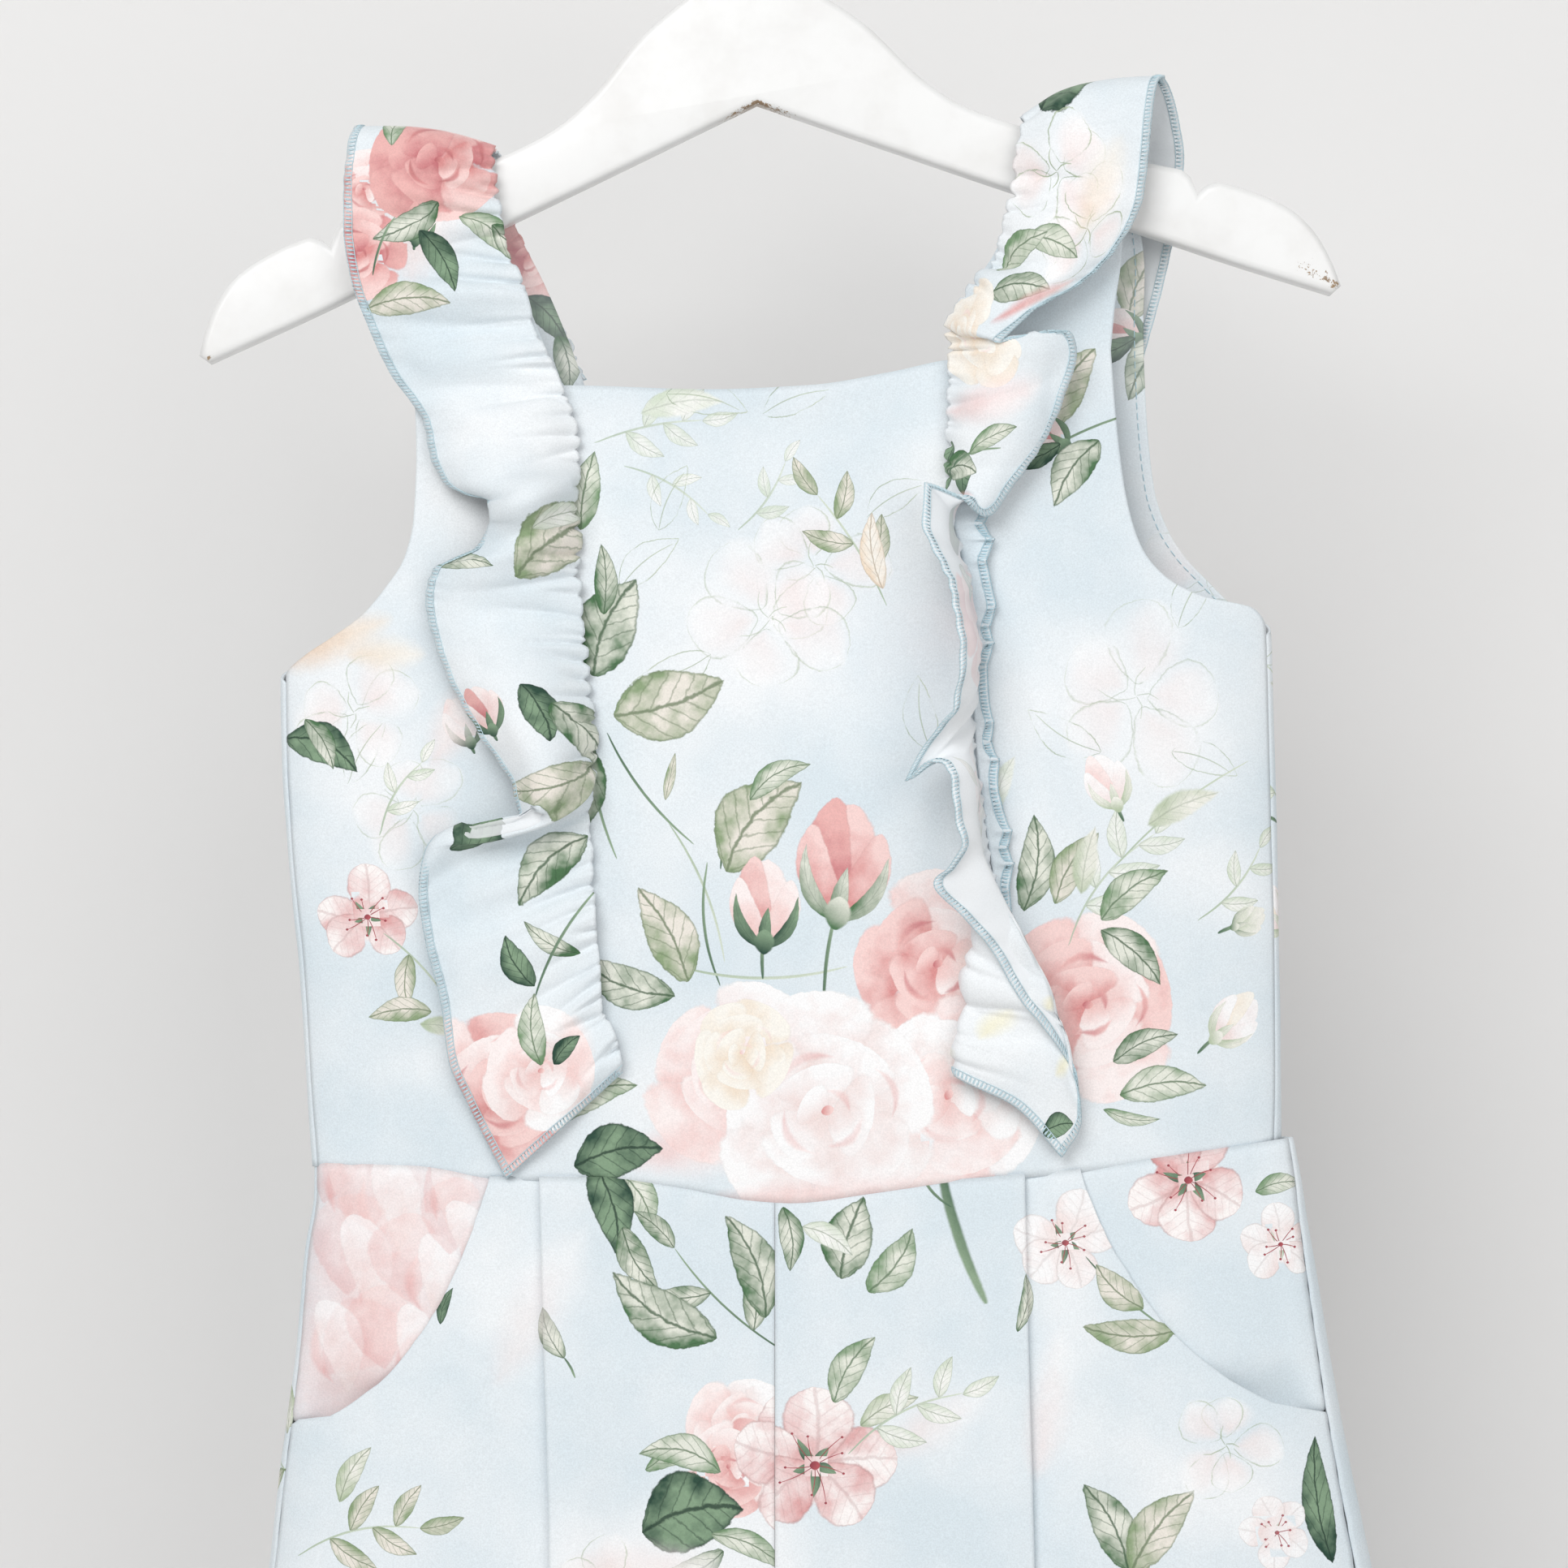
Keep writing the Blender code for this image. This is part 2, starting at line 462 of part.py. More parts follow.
def bodiceBack(name, isLeft):
    middleCells, sideCells = 4, 8
    strap = leftStrap if isLeft else rightStrap
    sewnLine = leftSewnLine if isLeft else rightSewnLine
    frontEdge = frontLeftEdge if isLeft else frontRightEdge
    backEdge = backLeftEdge if isLeft else backRightEdge
    sewn = curve(sewnLine["share"], sewnLine["x"])
    seam = curve(frontEdge["share"], frontEdge["x"])
    armhole = curve(backEdge["share"], backEdge["x"])
    away = -1 if isLeft else 1
    centre = centreBackX + away * seamGap / 2
    grid = []
    for share in bodyRows:
        left, right, depth = bodyLeft(share), bodyRight(share), bodyDepth(share)
        inner = sewn(share) + backShift(share)
        innerAngle = sectionAngle(inner, left, right, True)
        if share < underarmShare:
            edgeAngle = sectionAngle(seam(share) + away * seamGap, left, right, False)
            edgeAngle = edgeAngle if isLeft else edgeAngle - 360
        else:
            edgeAngle = sectionAngle(armhole(share), left, right, True)
        middle = [(x, sectionDepth(x, left, right, depth)) for x in spread(centre, inner, middleCells)]
        side = sectionRun(left, right, depth, innerAngle, edgeAngle, sideCells, fineEnd=True)
        grid.append([(x, y, levelInBody(x, share, True)) for x, y in middle + list(side[1:])])
    grid = np.array(grid)
    inner, outer = curves(strap, "climb", "backInner", "backOuter")

    def edges(climb):
        return spread(centre, inner(climb), middleCells) + spread(inner(climb), outer(climb), sideCells)[1:]

    straps = strapRows(grid[-1], edges, 1)
    whole = np.concatenate([grid, straps])
    present = np.ones((len(whole) - 1, whole.shape[1] - 1), bool)
    present[len(grid) - 1:, :middleCells] = False
    wallMesh(name, whole, present)


# The leg's level line: the waist seam's curve fades out below the waist
def legLevel(x, level, isBack=False):
    waist = backWaistAt(x) if isBack else waistAt(x)
    fade = 1 - ease((legRows[0] - level) / waistFade)
    return level + (waist - seamGap - legRows[0]) * fade


# Half of a leg's section from the silhouette (share 0) to the middle (share 1), at one level
def legProfile(level, isLeft, isBack=False):
    away = -1 if isLeft else 1
    outer = legLeft(level) if isLeft else legRight(level)
    apart = ease((crotchLevel - level) / (crotchLevel - hemLevel)) * legGapAtHem / 2
    curl = ease((level - crotchLevel - crotchCurl) / -crotchCurl)
    inner = centreSeamAt(level) + away * (seamGap / 2 + apart + curl * clothWall / 2)
    half = abs(outer - inner) / 2
    phi = np.radians(np.linspace(0, 90, profileSamples))
    power = 2 / sideRoundness
    inward = half * (1 - np.cos(phi) ** power)
    rounding = np.sin(phi) ** power
    x = np.concatenate([outer - away * inward, inner + away * inward[::-1][1:]])
    seat = (1 - curl) + curl * rounding[::-1][1:]
    whole = np.concatenate([rounding, rounding[::-1][1:]])
    across = (x - outer) / (inner - outer)
    growth = ease((legRows[0] - level) / (legRows[0] - hemLevel))
    phase = wavePhase["back" if isBack else "front"]
    wave = np.sin(2 * math.pi * (hemWaves * across + wavePhase["side"] * away) + phase)
    y = legDepth(level) * np.concatenate([rounding, seat])
    y = np.maximum(y + hemWaveHeight * growth * wave * whole ** 4, seamGap / 2)
    return x, y


# The same half section as evenly spaced points, parted a short way round from the side
def legRing(level, isLeft, isBack, ahead):
    ring = resample(np.stack(legProfile(level, isLeft, isBack), axis=1), ringSamples)
    walked = np.linalg.norm(np.diff(ring, axis=0), axis=1).cumsum()
    return ring[1:][walked >= ahead], ring[1:][walked < ahead]


def crotchLimit(isLeft, isBack):
    away = -1 if isLeft else 1

    def limit(skin):
        kept = skin.copy()
        wall = centreSeamAt(kept[..., 2]) + away * seamGap / 2
        kept[..., 0] = np.minimum(kept[..., 0], wall) if isLeft else np.maximum(kept[..., 0], wall)
        if isBack:
            inseam = len(fineCells)
            kept[:, -inseam:, 1] = np.maximum(kept[:, -inseam:, 1], seamGap / 2)
        else:
            kept[..., 1] = np.minimum(kept[..., 1], -seamGap / 2)
        return kept
    return limit


# A knife pleat in plan, from the side cloth to the top layer: along is toward the centre, lift is
# toward the viewer, both from the fold's visible line
def pleatProfile(under, pitch):
    r = pitch / 2
    points = [(-pleatTail, -pitch)]
    points += [(under - r + r * math.cos(math.radians(a)), -r + r * math.sin(math.radians(a)))
               for a in (-90, -30, 30, 90)]
    points += [(r - r * math.cos(math.radians(a)), r + r * math.sin(math.radians(a)))
               for a in (-90, -30, 30, 90)]
    return points + [(under * pleatTopShare, pitch)]


# How far the cloth beside a pleat's line sinks or rises toward the fold
def nearPleat(x, start, pitch):
    return pitch * (1 - ease(abs(x - start) / pleatEase))


# The pocket's edge at a row whose level follows the waist seam's curve
def pocketX(pocketEdge, level):
    x = float(pocketEdge(level))
    for _ in range(3):
        x = float(pocketEdge(legLevel(x, level)))
    return x


def legFront(name, isLeft):
    sideCells, middleCells = 6, 7
    away = -1 if isLeft else 1
    pocket = leftPocket if isLeft else rightPocket
    pocketEdge = curve(pocket["z"], pocket["x"])
    pleatX, pleatUnder, pleatPitch = curves(leftPleat if isLeft else rightPleat,
                                            "z", "x", "under", "pitch")
    grid = []
    for level in legRows:
        ring, _ = legRing(level, isLeft, False, seamAhead)
        order = np.argsort(ring[:, 0])
        hasPocket = level > pocket["z"].min()
        edge = pocketX(pocketEdge, level) if hasPocket else ring[0, 0]
        line, pitch = pleatX(level), pleatPitch(level)
        folds = [(line - away * along, lift) for along, lift in pleatProfile(pleatUnder(level), pitch)]
        first, last = folds[0][0], folds[-1][0]
        outer = ring[(away * (edge - ring[:, 0]) >= 0) & (away * (ring[:, 0] - first) > 0)]
        inner = ring[away * (ring[:, 0] - last) < 0]
        row = [(x, depth - nearPleat(x, first, pitch))
               for x, depth in resample(outer, sideCells, fineStart=not hasPocket)[:-1]]
        row += [(x, np.interp(x, ring[order, 0], ring[order, 1]) + lift) for x, lift in folds]
        row += [(x, depth + nearPleat(x, last, pitch))
                for x, depth in resample(inner, middleCells, fineEnd=True)[1:]]
        grid.append([(x, -depth, legLevel(x, level)) for x, depth in row])
    wallMesh(name, np.array(grid), limit=crotchLimit(isLeft, False))


def legBack(name, isLeft):
    cells = 14
    grid = []
    for level in legRows:
        ring, ahead = legRing(level, isLeft, True, seamAhead - seamGap)
        whole = np.concatenate([ahead[::-1] * (1, -1), ring])
        run = resample(whole, cells, fineStart=True, fineEnd=True)
        grid.append([(x, y, legLevel(x, level, y > backSeamDepth)) for x, y in run])
    wallMesh(name, np.array(grid), limit=crotchLimit(isLeft, True))


def pocketFacing(name, isLeft):
    cells = 7
    away = -1 if isLeft else 1
    pocket = leftPocket if isLeft else rightPocket
    pocketEdge = curve(pocket["z"], pocket["x"])
    pleatX, pleatPitch = curves(leftPleat if isLeft else rightPleat, "z", "x", "pitch")
    grid = []
    for level in facingRows:
        low = ease((facingTuck - level) / facingTuckEase)
        ring, _ = legRing(level, isLeft, False, seamAhead + facingInset * low)
        under = float(pocketEdge(min(level + pocketOverlap, pocket["z"].max())))
        ring = ring[away * (ring[:, 0] - under + away * pocketOverlap * facingReach) > 0]
        fromSide = np.abs(ring[:, 0] - ring[0, 0])
        fall = np.abs(np.gradient(ring[:, 1]) / np.gradient(ring[:, 0]))
        slope = curve(fromSide, np.minimum(np.hypot(1, fall), steepest))
        row = []
        for x, depth in resample(ring, cells, fineStart=True):
            inside = ease(abs(x - ring[0, 0]) / facingSideEase)
            sink = facingSink * max(inside, low) * slope(abs(x - ring[0, 0])) + facingDrop * low
            sink += nearPleat(x, pleatX(level) + away * pleatTail, pleatPitch(level))
            row.append((x, -(depth - sink), legLevel(x, level)))
        grid.append(row)
    wallMesh(name, np.array(grid))


# Positions along a ruffle's table, eased from row to row, at even steps of cloth
def alongRuffle(rows, names, steps):
    mean = np.stack([(rows["rootX"] + rows["edgeX"]) / 2, (rows["rootZ"] + rows["edgeZ"]) / 2,
                     rows["turn"] / 9], axis=1)
    root = np.stack([rows["rootX"], rows["rootZ"], rows["turn"] / 9], axis=1)
    stride = (np.linalg.norm(np.diff(mean, axis=0), axis=1)
              + np.linalg.norm(np.diff(root, axis=0), axis=1))
    walked = np.concatenate([[0], np.cumsum(stride)])
    stops = np.linspace(0, walked[-1], steps + 1)
    return [dict(zip(names, values)) for values in
            zip(*[curve(walked, rows[name])(stops) for name in names])]


# A point off the cloth: turn 0 is in front of it, 90 over the shoulder, 180 behind
def offCloth(x, z, turn, lift):
    facing = math.cos(math.radians(turn))
    reach = math.copysign(abs(facing) ** bendSquareness, facing)
    return np.array((x, -reach * (clothDepth(x, z) + clothWall / 2 + lift), z))


def ruffle(name, rows, folded):
    across = 5 if folded else 4
    names = list(rows)
    grid = []
    for i, at in enumerate(alongRuffle(rows, names, ruffleSteps)):
        turn = at["turn"]
        outward = np.array((0, -math.cos(math.radians(turn)), math.sin(math.radians(turn))))
        rootLift = seamGap + clothWall / 2 + gatherDepth
        root = offCloth(at["rootX"], at["rootZ"], turn, rootLift)
        edge = offCloth(at["edgeX"], at["edgeZ"], turn, at["lift"])
        chord = np.linalg.norm(edge - root)
        slack = max(ruffleWidth - chord, 0)
        bulge = 0 if folded else min(math.sqrt(3 * chord * slack / 8), highestBulge)
        bulge *= 1 - shoulderFlattening * math.sin(math.radians(turn))
        if folded:
            stops = [root, offCloth(at["foldX"], at["foldZ"], turn, at["foldLift"]),
                     offCloth(at["backX"], at["backZ"], turn, at["backLift"]), edge]
        row = []
        for j in range(across + 1):
            w = j / across
            if folded:
                point = bezierThrough(stops, w)
            else:
                point = root + (edge - root) * w + outward * bulge * math.sin(math.pi * w)
            side = 1 if i % 2 else -1
            uneven = 1 - gatherUnevenness + gatherUnevenness * math.sin(gatherBeat * i)
            gather = gatherDepth * side * (1 - gatherTaper * w) * uneven
            row.append(point + outward * gather)
        grid.append(row)
    wallMesh(name, np.array(grid))


# A smooth line through four points, evenly timed
def bezierThrough(stops, w):
    place = w * (len(stops) - 1)
    i = min(int(place), len(stops) - 2)
    t = place - i
    before = stops[i - 1] if i > 0 else 2 * stops[0] - stops[1]
    after = stops[i + 2] if i + 2 < len(stops) else 2 * stops[-1] - stops[-2]
    one, two = stops[i], stops[i + 1]
    return (one + t * (two - before) / 2 + t * t * (before - 2.5 * one + 2 * two - after / 2)
            + t ** 3 * (1.5 * (one - two) + (after - before) / 2))


# The hanger's outline moved in by a distance, along each corner's bisector
def insetOutline(points, distance):
    moved = []
    for i, point in enumerate(points):
        before = points[i] - points[i - 1]
        after = points[(i + 1) % len(points)] - points[i]
        before = before / np.linalg.norm(before)
        after = after / np.linalg.norm(after)
        inward = np.array((before[1] + after[1], -before[0] - after[0]))
        size = np.linalg.norm(inward)
        sharp = max(size * size / 2, sharpestCorner)
        moved.append(point + inward * distance / sharp)
    return moved


def tilt(a, b):
    return a * tiltCos - b * tiltSin, a * tiltSin + b * tiltCos


def hangerBar():
    right = [np.array(p) for p in zip(hangerTop["a"], hangerTop["b"])]
    under = [np.array(p) for p in zip(hangerUnderside["a"], hangerUnderside["b"])]
    mirrored = [np.array((-p[0], p[1])) for p in reversed(right + under)]
    outline = mirrored[len(under):] + right + under + [np.array((0, hangerApex))] + mirrored[:len(under)]
    rings = []
    half = hangerThickness / 2
    for y, inset in ((-half, hangerBevel), (-half + hangerBevel, 0), (half - hangerBevel, 0),
                     (half, hangerBevel)):
        ring = insetOutline(outline, inset)
        rings.append([(tilt(*p)[0], y, tilt(*p)[1]) for p in ring])
    mesh = bmesh.new()
    made = [[mesh.verts.new(np.array(p) * mm) for p in ring] for ring in rings]
    for one, two in zip(made, made[1:]):
        for i in range(len(one)):
            k = (i + 1) % len(one)
            mesh.faces.new([one[i], one[k], two[k], two[i]])
    caps = [mesh.faces.new(made[0]), mesh.faces.new(made[-1])]
    bmesh.ops.triangulate(mesh, faces=caps)
    addObject("hanger_bar", mesh, "white_paint")


# The hook's wire: most of a circle round the bearing point, then an easy bend into the stem
def hangerHook():
    radius = hookInnerRadius + hookWire / 2
    stemEnd = float(hangerTop["b"][0]) + seamGap
    path = [(radius * math.cos(math.radians(a)), -hookInnerRadius + radius * math.sin(math.radians(a)))
            for a in hookAngles]
    last = np.array(path[-1])
    leave = np.array(hookLeave)
    stem = np.array((0, stemTop))
    for t in (.2, .4, .6, .8, 1):
        path.append(tuple((1 - t) ** 3 * last + 3 * t * (1 - t) ** 2 * (last + leave)
                          + 3 * t * t * (1 - t) * (stem + (0, stemLead)) + t ** 3 * stem))
    path.append((0, stemEnd))
    bent = bpy.data.curves.new("hanger_hook", "CURVE")
    bent.dimensions = "3D"
    bent.bevel_depth = hookWire / 2 * mm
    bent.bevel_resolution = 2
    bent.use_fill_caps = True
    line = bent.splines.new("POLY")
    line.points.add(len(path) - 1)
    for point, (a, b) in zip(line.points, path):
        x, z = tilt(a, b)
        point.co = (x * mm, 0, z * mm, 1)
    bent.materials.append(material("steel_wire"))
    bpy.context.collection.objects.link(bpy.data.objects.new("hanger_hook", bent))


def clearScene():
    for item in list(bpy.data.objects):
        bpy.data.objects.remove(item, do_unlink=True)


clearScene()
hangerBar()
hangerHook()
bodiceFront()
for side in ("left", "right"):
    bodiceBack("bodice_back_" + side, side == "left")
    legFront("leg_front_" + side, side == "left")
    legBack("leg_back_" + side, side == "left")
    pocketFacing("pocket_facing_" + side, side == "left")
ruffle("ruffle_left", leftRuffle, False)
ruffle("ruffle_right", rightRuffle, True)
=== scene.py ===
# A child's short romper with shoulder ruffles on its wooden hanger.
# Shapes are in millimetres until a mesh is made; the front faces -Y.
import math
import random
import bpy
import numpy as np
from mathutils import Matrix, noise


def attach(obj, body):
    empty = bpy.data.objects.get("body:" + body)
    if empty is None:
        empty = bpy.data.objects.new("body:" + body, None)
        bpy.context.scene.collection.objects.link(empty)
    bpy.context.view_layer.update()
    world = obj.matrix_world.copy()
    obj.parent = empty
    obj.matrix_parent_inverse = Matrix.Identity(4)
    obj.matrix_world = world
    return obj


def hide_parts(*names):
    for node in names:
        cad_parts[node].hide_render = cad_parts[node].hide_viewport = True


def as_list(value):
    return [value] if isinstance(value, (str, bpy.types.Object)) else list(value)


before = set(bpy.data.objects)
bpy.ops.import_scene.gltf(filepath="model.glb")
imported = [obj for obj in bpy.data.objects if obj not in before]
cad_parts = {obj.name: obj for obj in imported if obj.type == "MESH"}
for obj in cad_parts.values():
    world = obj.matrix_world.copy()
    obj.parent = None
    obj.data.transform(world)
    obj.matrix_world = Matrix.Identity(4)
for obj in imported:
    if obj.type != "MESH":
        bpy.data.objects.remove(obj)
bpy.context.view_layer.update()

mm = 0.001


def table(names, rows):
    return dict(zip(names.split(), np.array(rows, dtype=float).T))


# a smooth line through a table's points that never overshoots
def curve(xs, ys):
    order = np.argsort(xs)
    xs = np.asarray(xs, float)[order]
    ys = np.asarray(ys, float)[order]
    steps = np.diff(ys) / np.diff(xs)
    slopes = np.zeros(len(xs))
    slopes[0] = steps[0]
    slopes[-1] = steps[-1]
    for i in range(1, len(xs) - 1):
        if steps[i - 1] * steps[i] > 0:
            slopes[i] = 2 * steps[i - 1] * steps[i] / (steps[i - 1] + steps[i])

    def value(x):
        x = np.clip(x, xs[0], xs[-1])
        i = np.clip(np.searchsorted(xs, x) - 1, 0, len(xs) - 2)
        h = xs[i + 1] - xs[i]
        t = (x - xs[i]) / h
        rise = ys[i + 1] - ys[i]
        return (ys[i] + t * h * slopes[i] + t * t * (3 * rise - h * (2 * slopes[i] + slopes[i + 1]))
                + t ** 3 * (h * (slopes[i] + slopes[i + 1]) - 2 * rise))
    return value


def curves(rows, key, *names):
    return [curve(rows[key], rows[name]) for name in names]


def ease(t):
    t = np.clip(t, 0.0, 1.0)
    return t * t * (3 - 2 * t)


def asPoints(*coordinates):
    return np.stack(coordinates, axis=-1)


def unit(vectors):
    return vectors / np.maximum(np.linalg.norm(vectors, axis=-1, keepdims=True), 1e-9)


def heading(angle):
    turned = math.radians(angle)
    return math.cos(turned), math.sin(turned)


def distances(points):
    return np.concatenate([[0], np.cumsum(np.linalg.norm(np.diff(points, axis=0), axis=1))])


def pointsAt(stops, walked, points):
    return np.stack([np.interp(stops, walked, column) for column in points.T], axis=1)


def resample(points, stops):
    walked = distances(points)
    return pointsAt(np.asarray(stops) * walked[-1], walked, points)


# shares from 0 to 1 that crowd toward the start, the end or both
def crowded(cells, start=False, end=False):
    t = np.linspace(0, 1, cells + 1)
    if start and end:
        return (t + ease(t)) / 2
    if start:
        return 0.45 * t + 0.55 * t ** 1.8
    if end:
        return 1 - (0.45 * (1 - t) + 0.55 * (1 - t) ** 1.8)
    return t


hanger = {
    "tilt": 3.5, "thickness": 12, "edgeRound": 2.4, "apex": -99.6,
    "wire": 3.5, "eye": 19, "notch": (13, 17),  # rows of the top that draw the strap notch
    "top": table("a b", [
        (5, -58), (14, -61.5), (22, -67.3), (31, -74), (37.4, -79.6), (43, -86), (50, -93.7),
        (61, -102.6), (71.6, -108), (84, -112.6), (102, -119), (121, -125.6), (130, -128),
        (132.6, -130.5), (134.4, -136), (137, -133.6), (141, -132.5), (148, -134.7), (157, -138.8),
        (164, -143.3), (170.6, -151), (175, -160.5), (177, -167)]),
    "under": table("a b", [(174, -169.4), (144, -158), (120, -148.3), (78.5, -132), (31, -112.5)]),
}
tiltCos, tiltSin = heading(hanger["tilt"])

cloth = {"wall": 0.8, "seamGap": 0.12, "roundness": 2.6, "unevenness": 0.35}

bodice = {
    "waist": table("x z", [
        (-131, -428.4), (-100, -428.9), (-76, -432), (-40, -432.2), (-18, -434.5), (4, -438.2),
        (17, -439), (41, -436.2), (64, -433.3), (106, -429.6), (144, -424.4), (170, -420.8)]),
    "neck": table("x z", [
        (-140, -192.4), (-99.5, -190), (-54.6, -187), (-9.5, -188.3), (23, -186.9), (47, -183),
        (66.6, -179), (115.4, -176), (165, -173)]),
    "sections": table("share left right depth backShift", [
        (0, -131.4, 168.4, 14.5, 0), (0.12, -133.4, 168.2, 15.5, 0), (0.27, -135.6, 167.6, 16, 0),
        (0.39, -138.4, 166.9, 16, 0), (0.53, -140.6, 166, 15.5, 0), (0.655, -141.2, 165, 14.5, 0),
        (0.73, -139, 162, 13.5, 2.5), (0.80, -134, 156, 12.5, 5),
        (1, -124, 146, 10, 8.5)]),
    "seamTop": 0.645, "armholeLow": 0.668, "backDip": 3, "backDrop": 4, "centreBack": 16,
    "frontLeft": table("share x", [
        (0, -129.6), (.12, -131.8), (.27, -133.9), (.39, -136.8), (.53, -139), (.645, -139.4),
        (.668, -133.8), (.69, -125.4), (.718, -115.7), (.753, -108.4), (.79, -102.6), (.84, -99.8),
        (.925, -99), (1, -99.5)]),
    "frontRight": table("share x", [
        (0, 165.8), (.12, 166.2), (.27, 165.8), (.39, 165), (.53, 164.1), (.645, 163.4),
        (.668, 160), (.69, 143), (.718, 132), (.753, 125.2), (.79, 121.8), (.84, 119.2),
        (.925, 116.8), (1, 115.4)]),
    "backLeft": table("share x", [
        (.645, -140), (.668, -136.5), (.69, -128), (.718, -118), (.753, -109.5), (.79, -101),
        (.84, -95.5), (.925, -91.5), (1, -91)]),
    "backRight": table("share x", [
        (.645, 164.6), (.668, 161), (.69, 153.5), (.718, 147), (.753, 139.5), (.79, 134),
        (.84, 130), (.925, 127.6), (1, 126.6)]),
    "leftSewn": table("share x", [
        (0, -33.5), (.17, -38), (.33, -44), (.5, -46.5), (.68, -48.2), (.8, -50.4), (1, -54.6)]),
    "rightSewn": table("share x", [
        (0, 86), (.15, 84), (.33, 81), (.5, 75), (.75, 71), (.9, 67), (1, 66.6)]),
}

strap = {
    "left": table("climb inner outer backInner backOuter", [
        (0, -54.6, -99.5, -46, -91), (.25, -61.5, -101.5, -53, -93), (.5, -68, -104, -60.5, -97),
        (.75, -73.5, -106.5, -68.5, -102.5), (1, -76, -108, -75, -107.5)]),
    "right": table("climb inner outer backInner backOuter", [
        (0, 66.6, 115.4, 75, 126.6), (.25, 71, 116.7, 79, 126.4), (.5, 80.5, 118.6, 86, 126.8),
        (.75, 85.9, 119.4, 88.5, 125.5), (1, 89, 120, 89.5, 121)]),
    "bendBelowTop": 6, "bendSquareness": 0.45, "clear": 0.9,
}
strapDepth = hanger["thickness"] / 2 + strap["clear"]

legs = {
    "sections": table("z left right depth", [
        (-420, -130.6, 168.6, 14.5), (-440, -130.8, 174, 15.5), (-457, -133.6, 177, 16.5),
        (-488, -136.6, 183, 18), (-524, -141.4, 190.4, 19), (-551, -144.4, 196, 20),
        (-650, -157, 214, 22), (-740, -170, 231, 24)]),
    "top": -432, "crotch": -650, "hem": -735, "gapAtHem": 14,
    "waistFade": 90, "curl": 62, "seamAhead": 3, "seamForward": (7, 14),
    "waves": 2.2, "waveHeight": 2.6, "facingEnd": -519,
    "centre": table("z x", [(-435, 11.7), (-551, 11.7), (-650, 12), (-735, 12)]),
    "leftPocket": table("z x", [
        (-432.3, -76.1), (-438.2, -78.4), (-448.2, -81.8), (-459.3, -86.3), (-469.4, -91.3),
        (-480.5, -98.5), (-491.7, -107.4), (-497.9, -115.3), (-504, -124.1), (-507.9, -132)]),
    "rightPocket": table("z x", [
        (-429.8, 105.7), (-440.8, 110.3), (-451.7, 115), (-461.3, 121.2), (-468.6, 126),
        (-477.7, 133.3), (-485.5, 141.8), (-492.9, 151.5), (-498.9, 162.3), (-505.5, 177)]),
    "leftPleat": table("z x under pitch", [
        (-432, -60.5, 12, 1.5), (-551, -57.1, 11, 1.8), (-650, -56, 9, 2.3), (-735, -55, 7, 3)]),
    "rightPleat": table("z x under pitch", [
        (-430, 88.2, 12, 1.5), (-551, 90.9, 11, 1.8), (-650, 93, 9, 2.3), (-735, 95, 7, 3)]),
    "pleatEase": 16, "overlap": 12, "tuck": -478, "drop": 3.8,
}

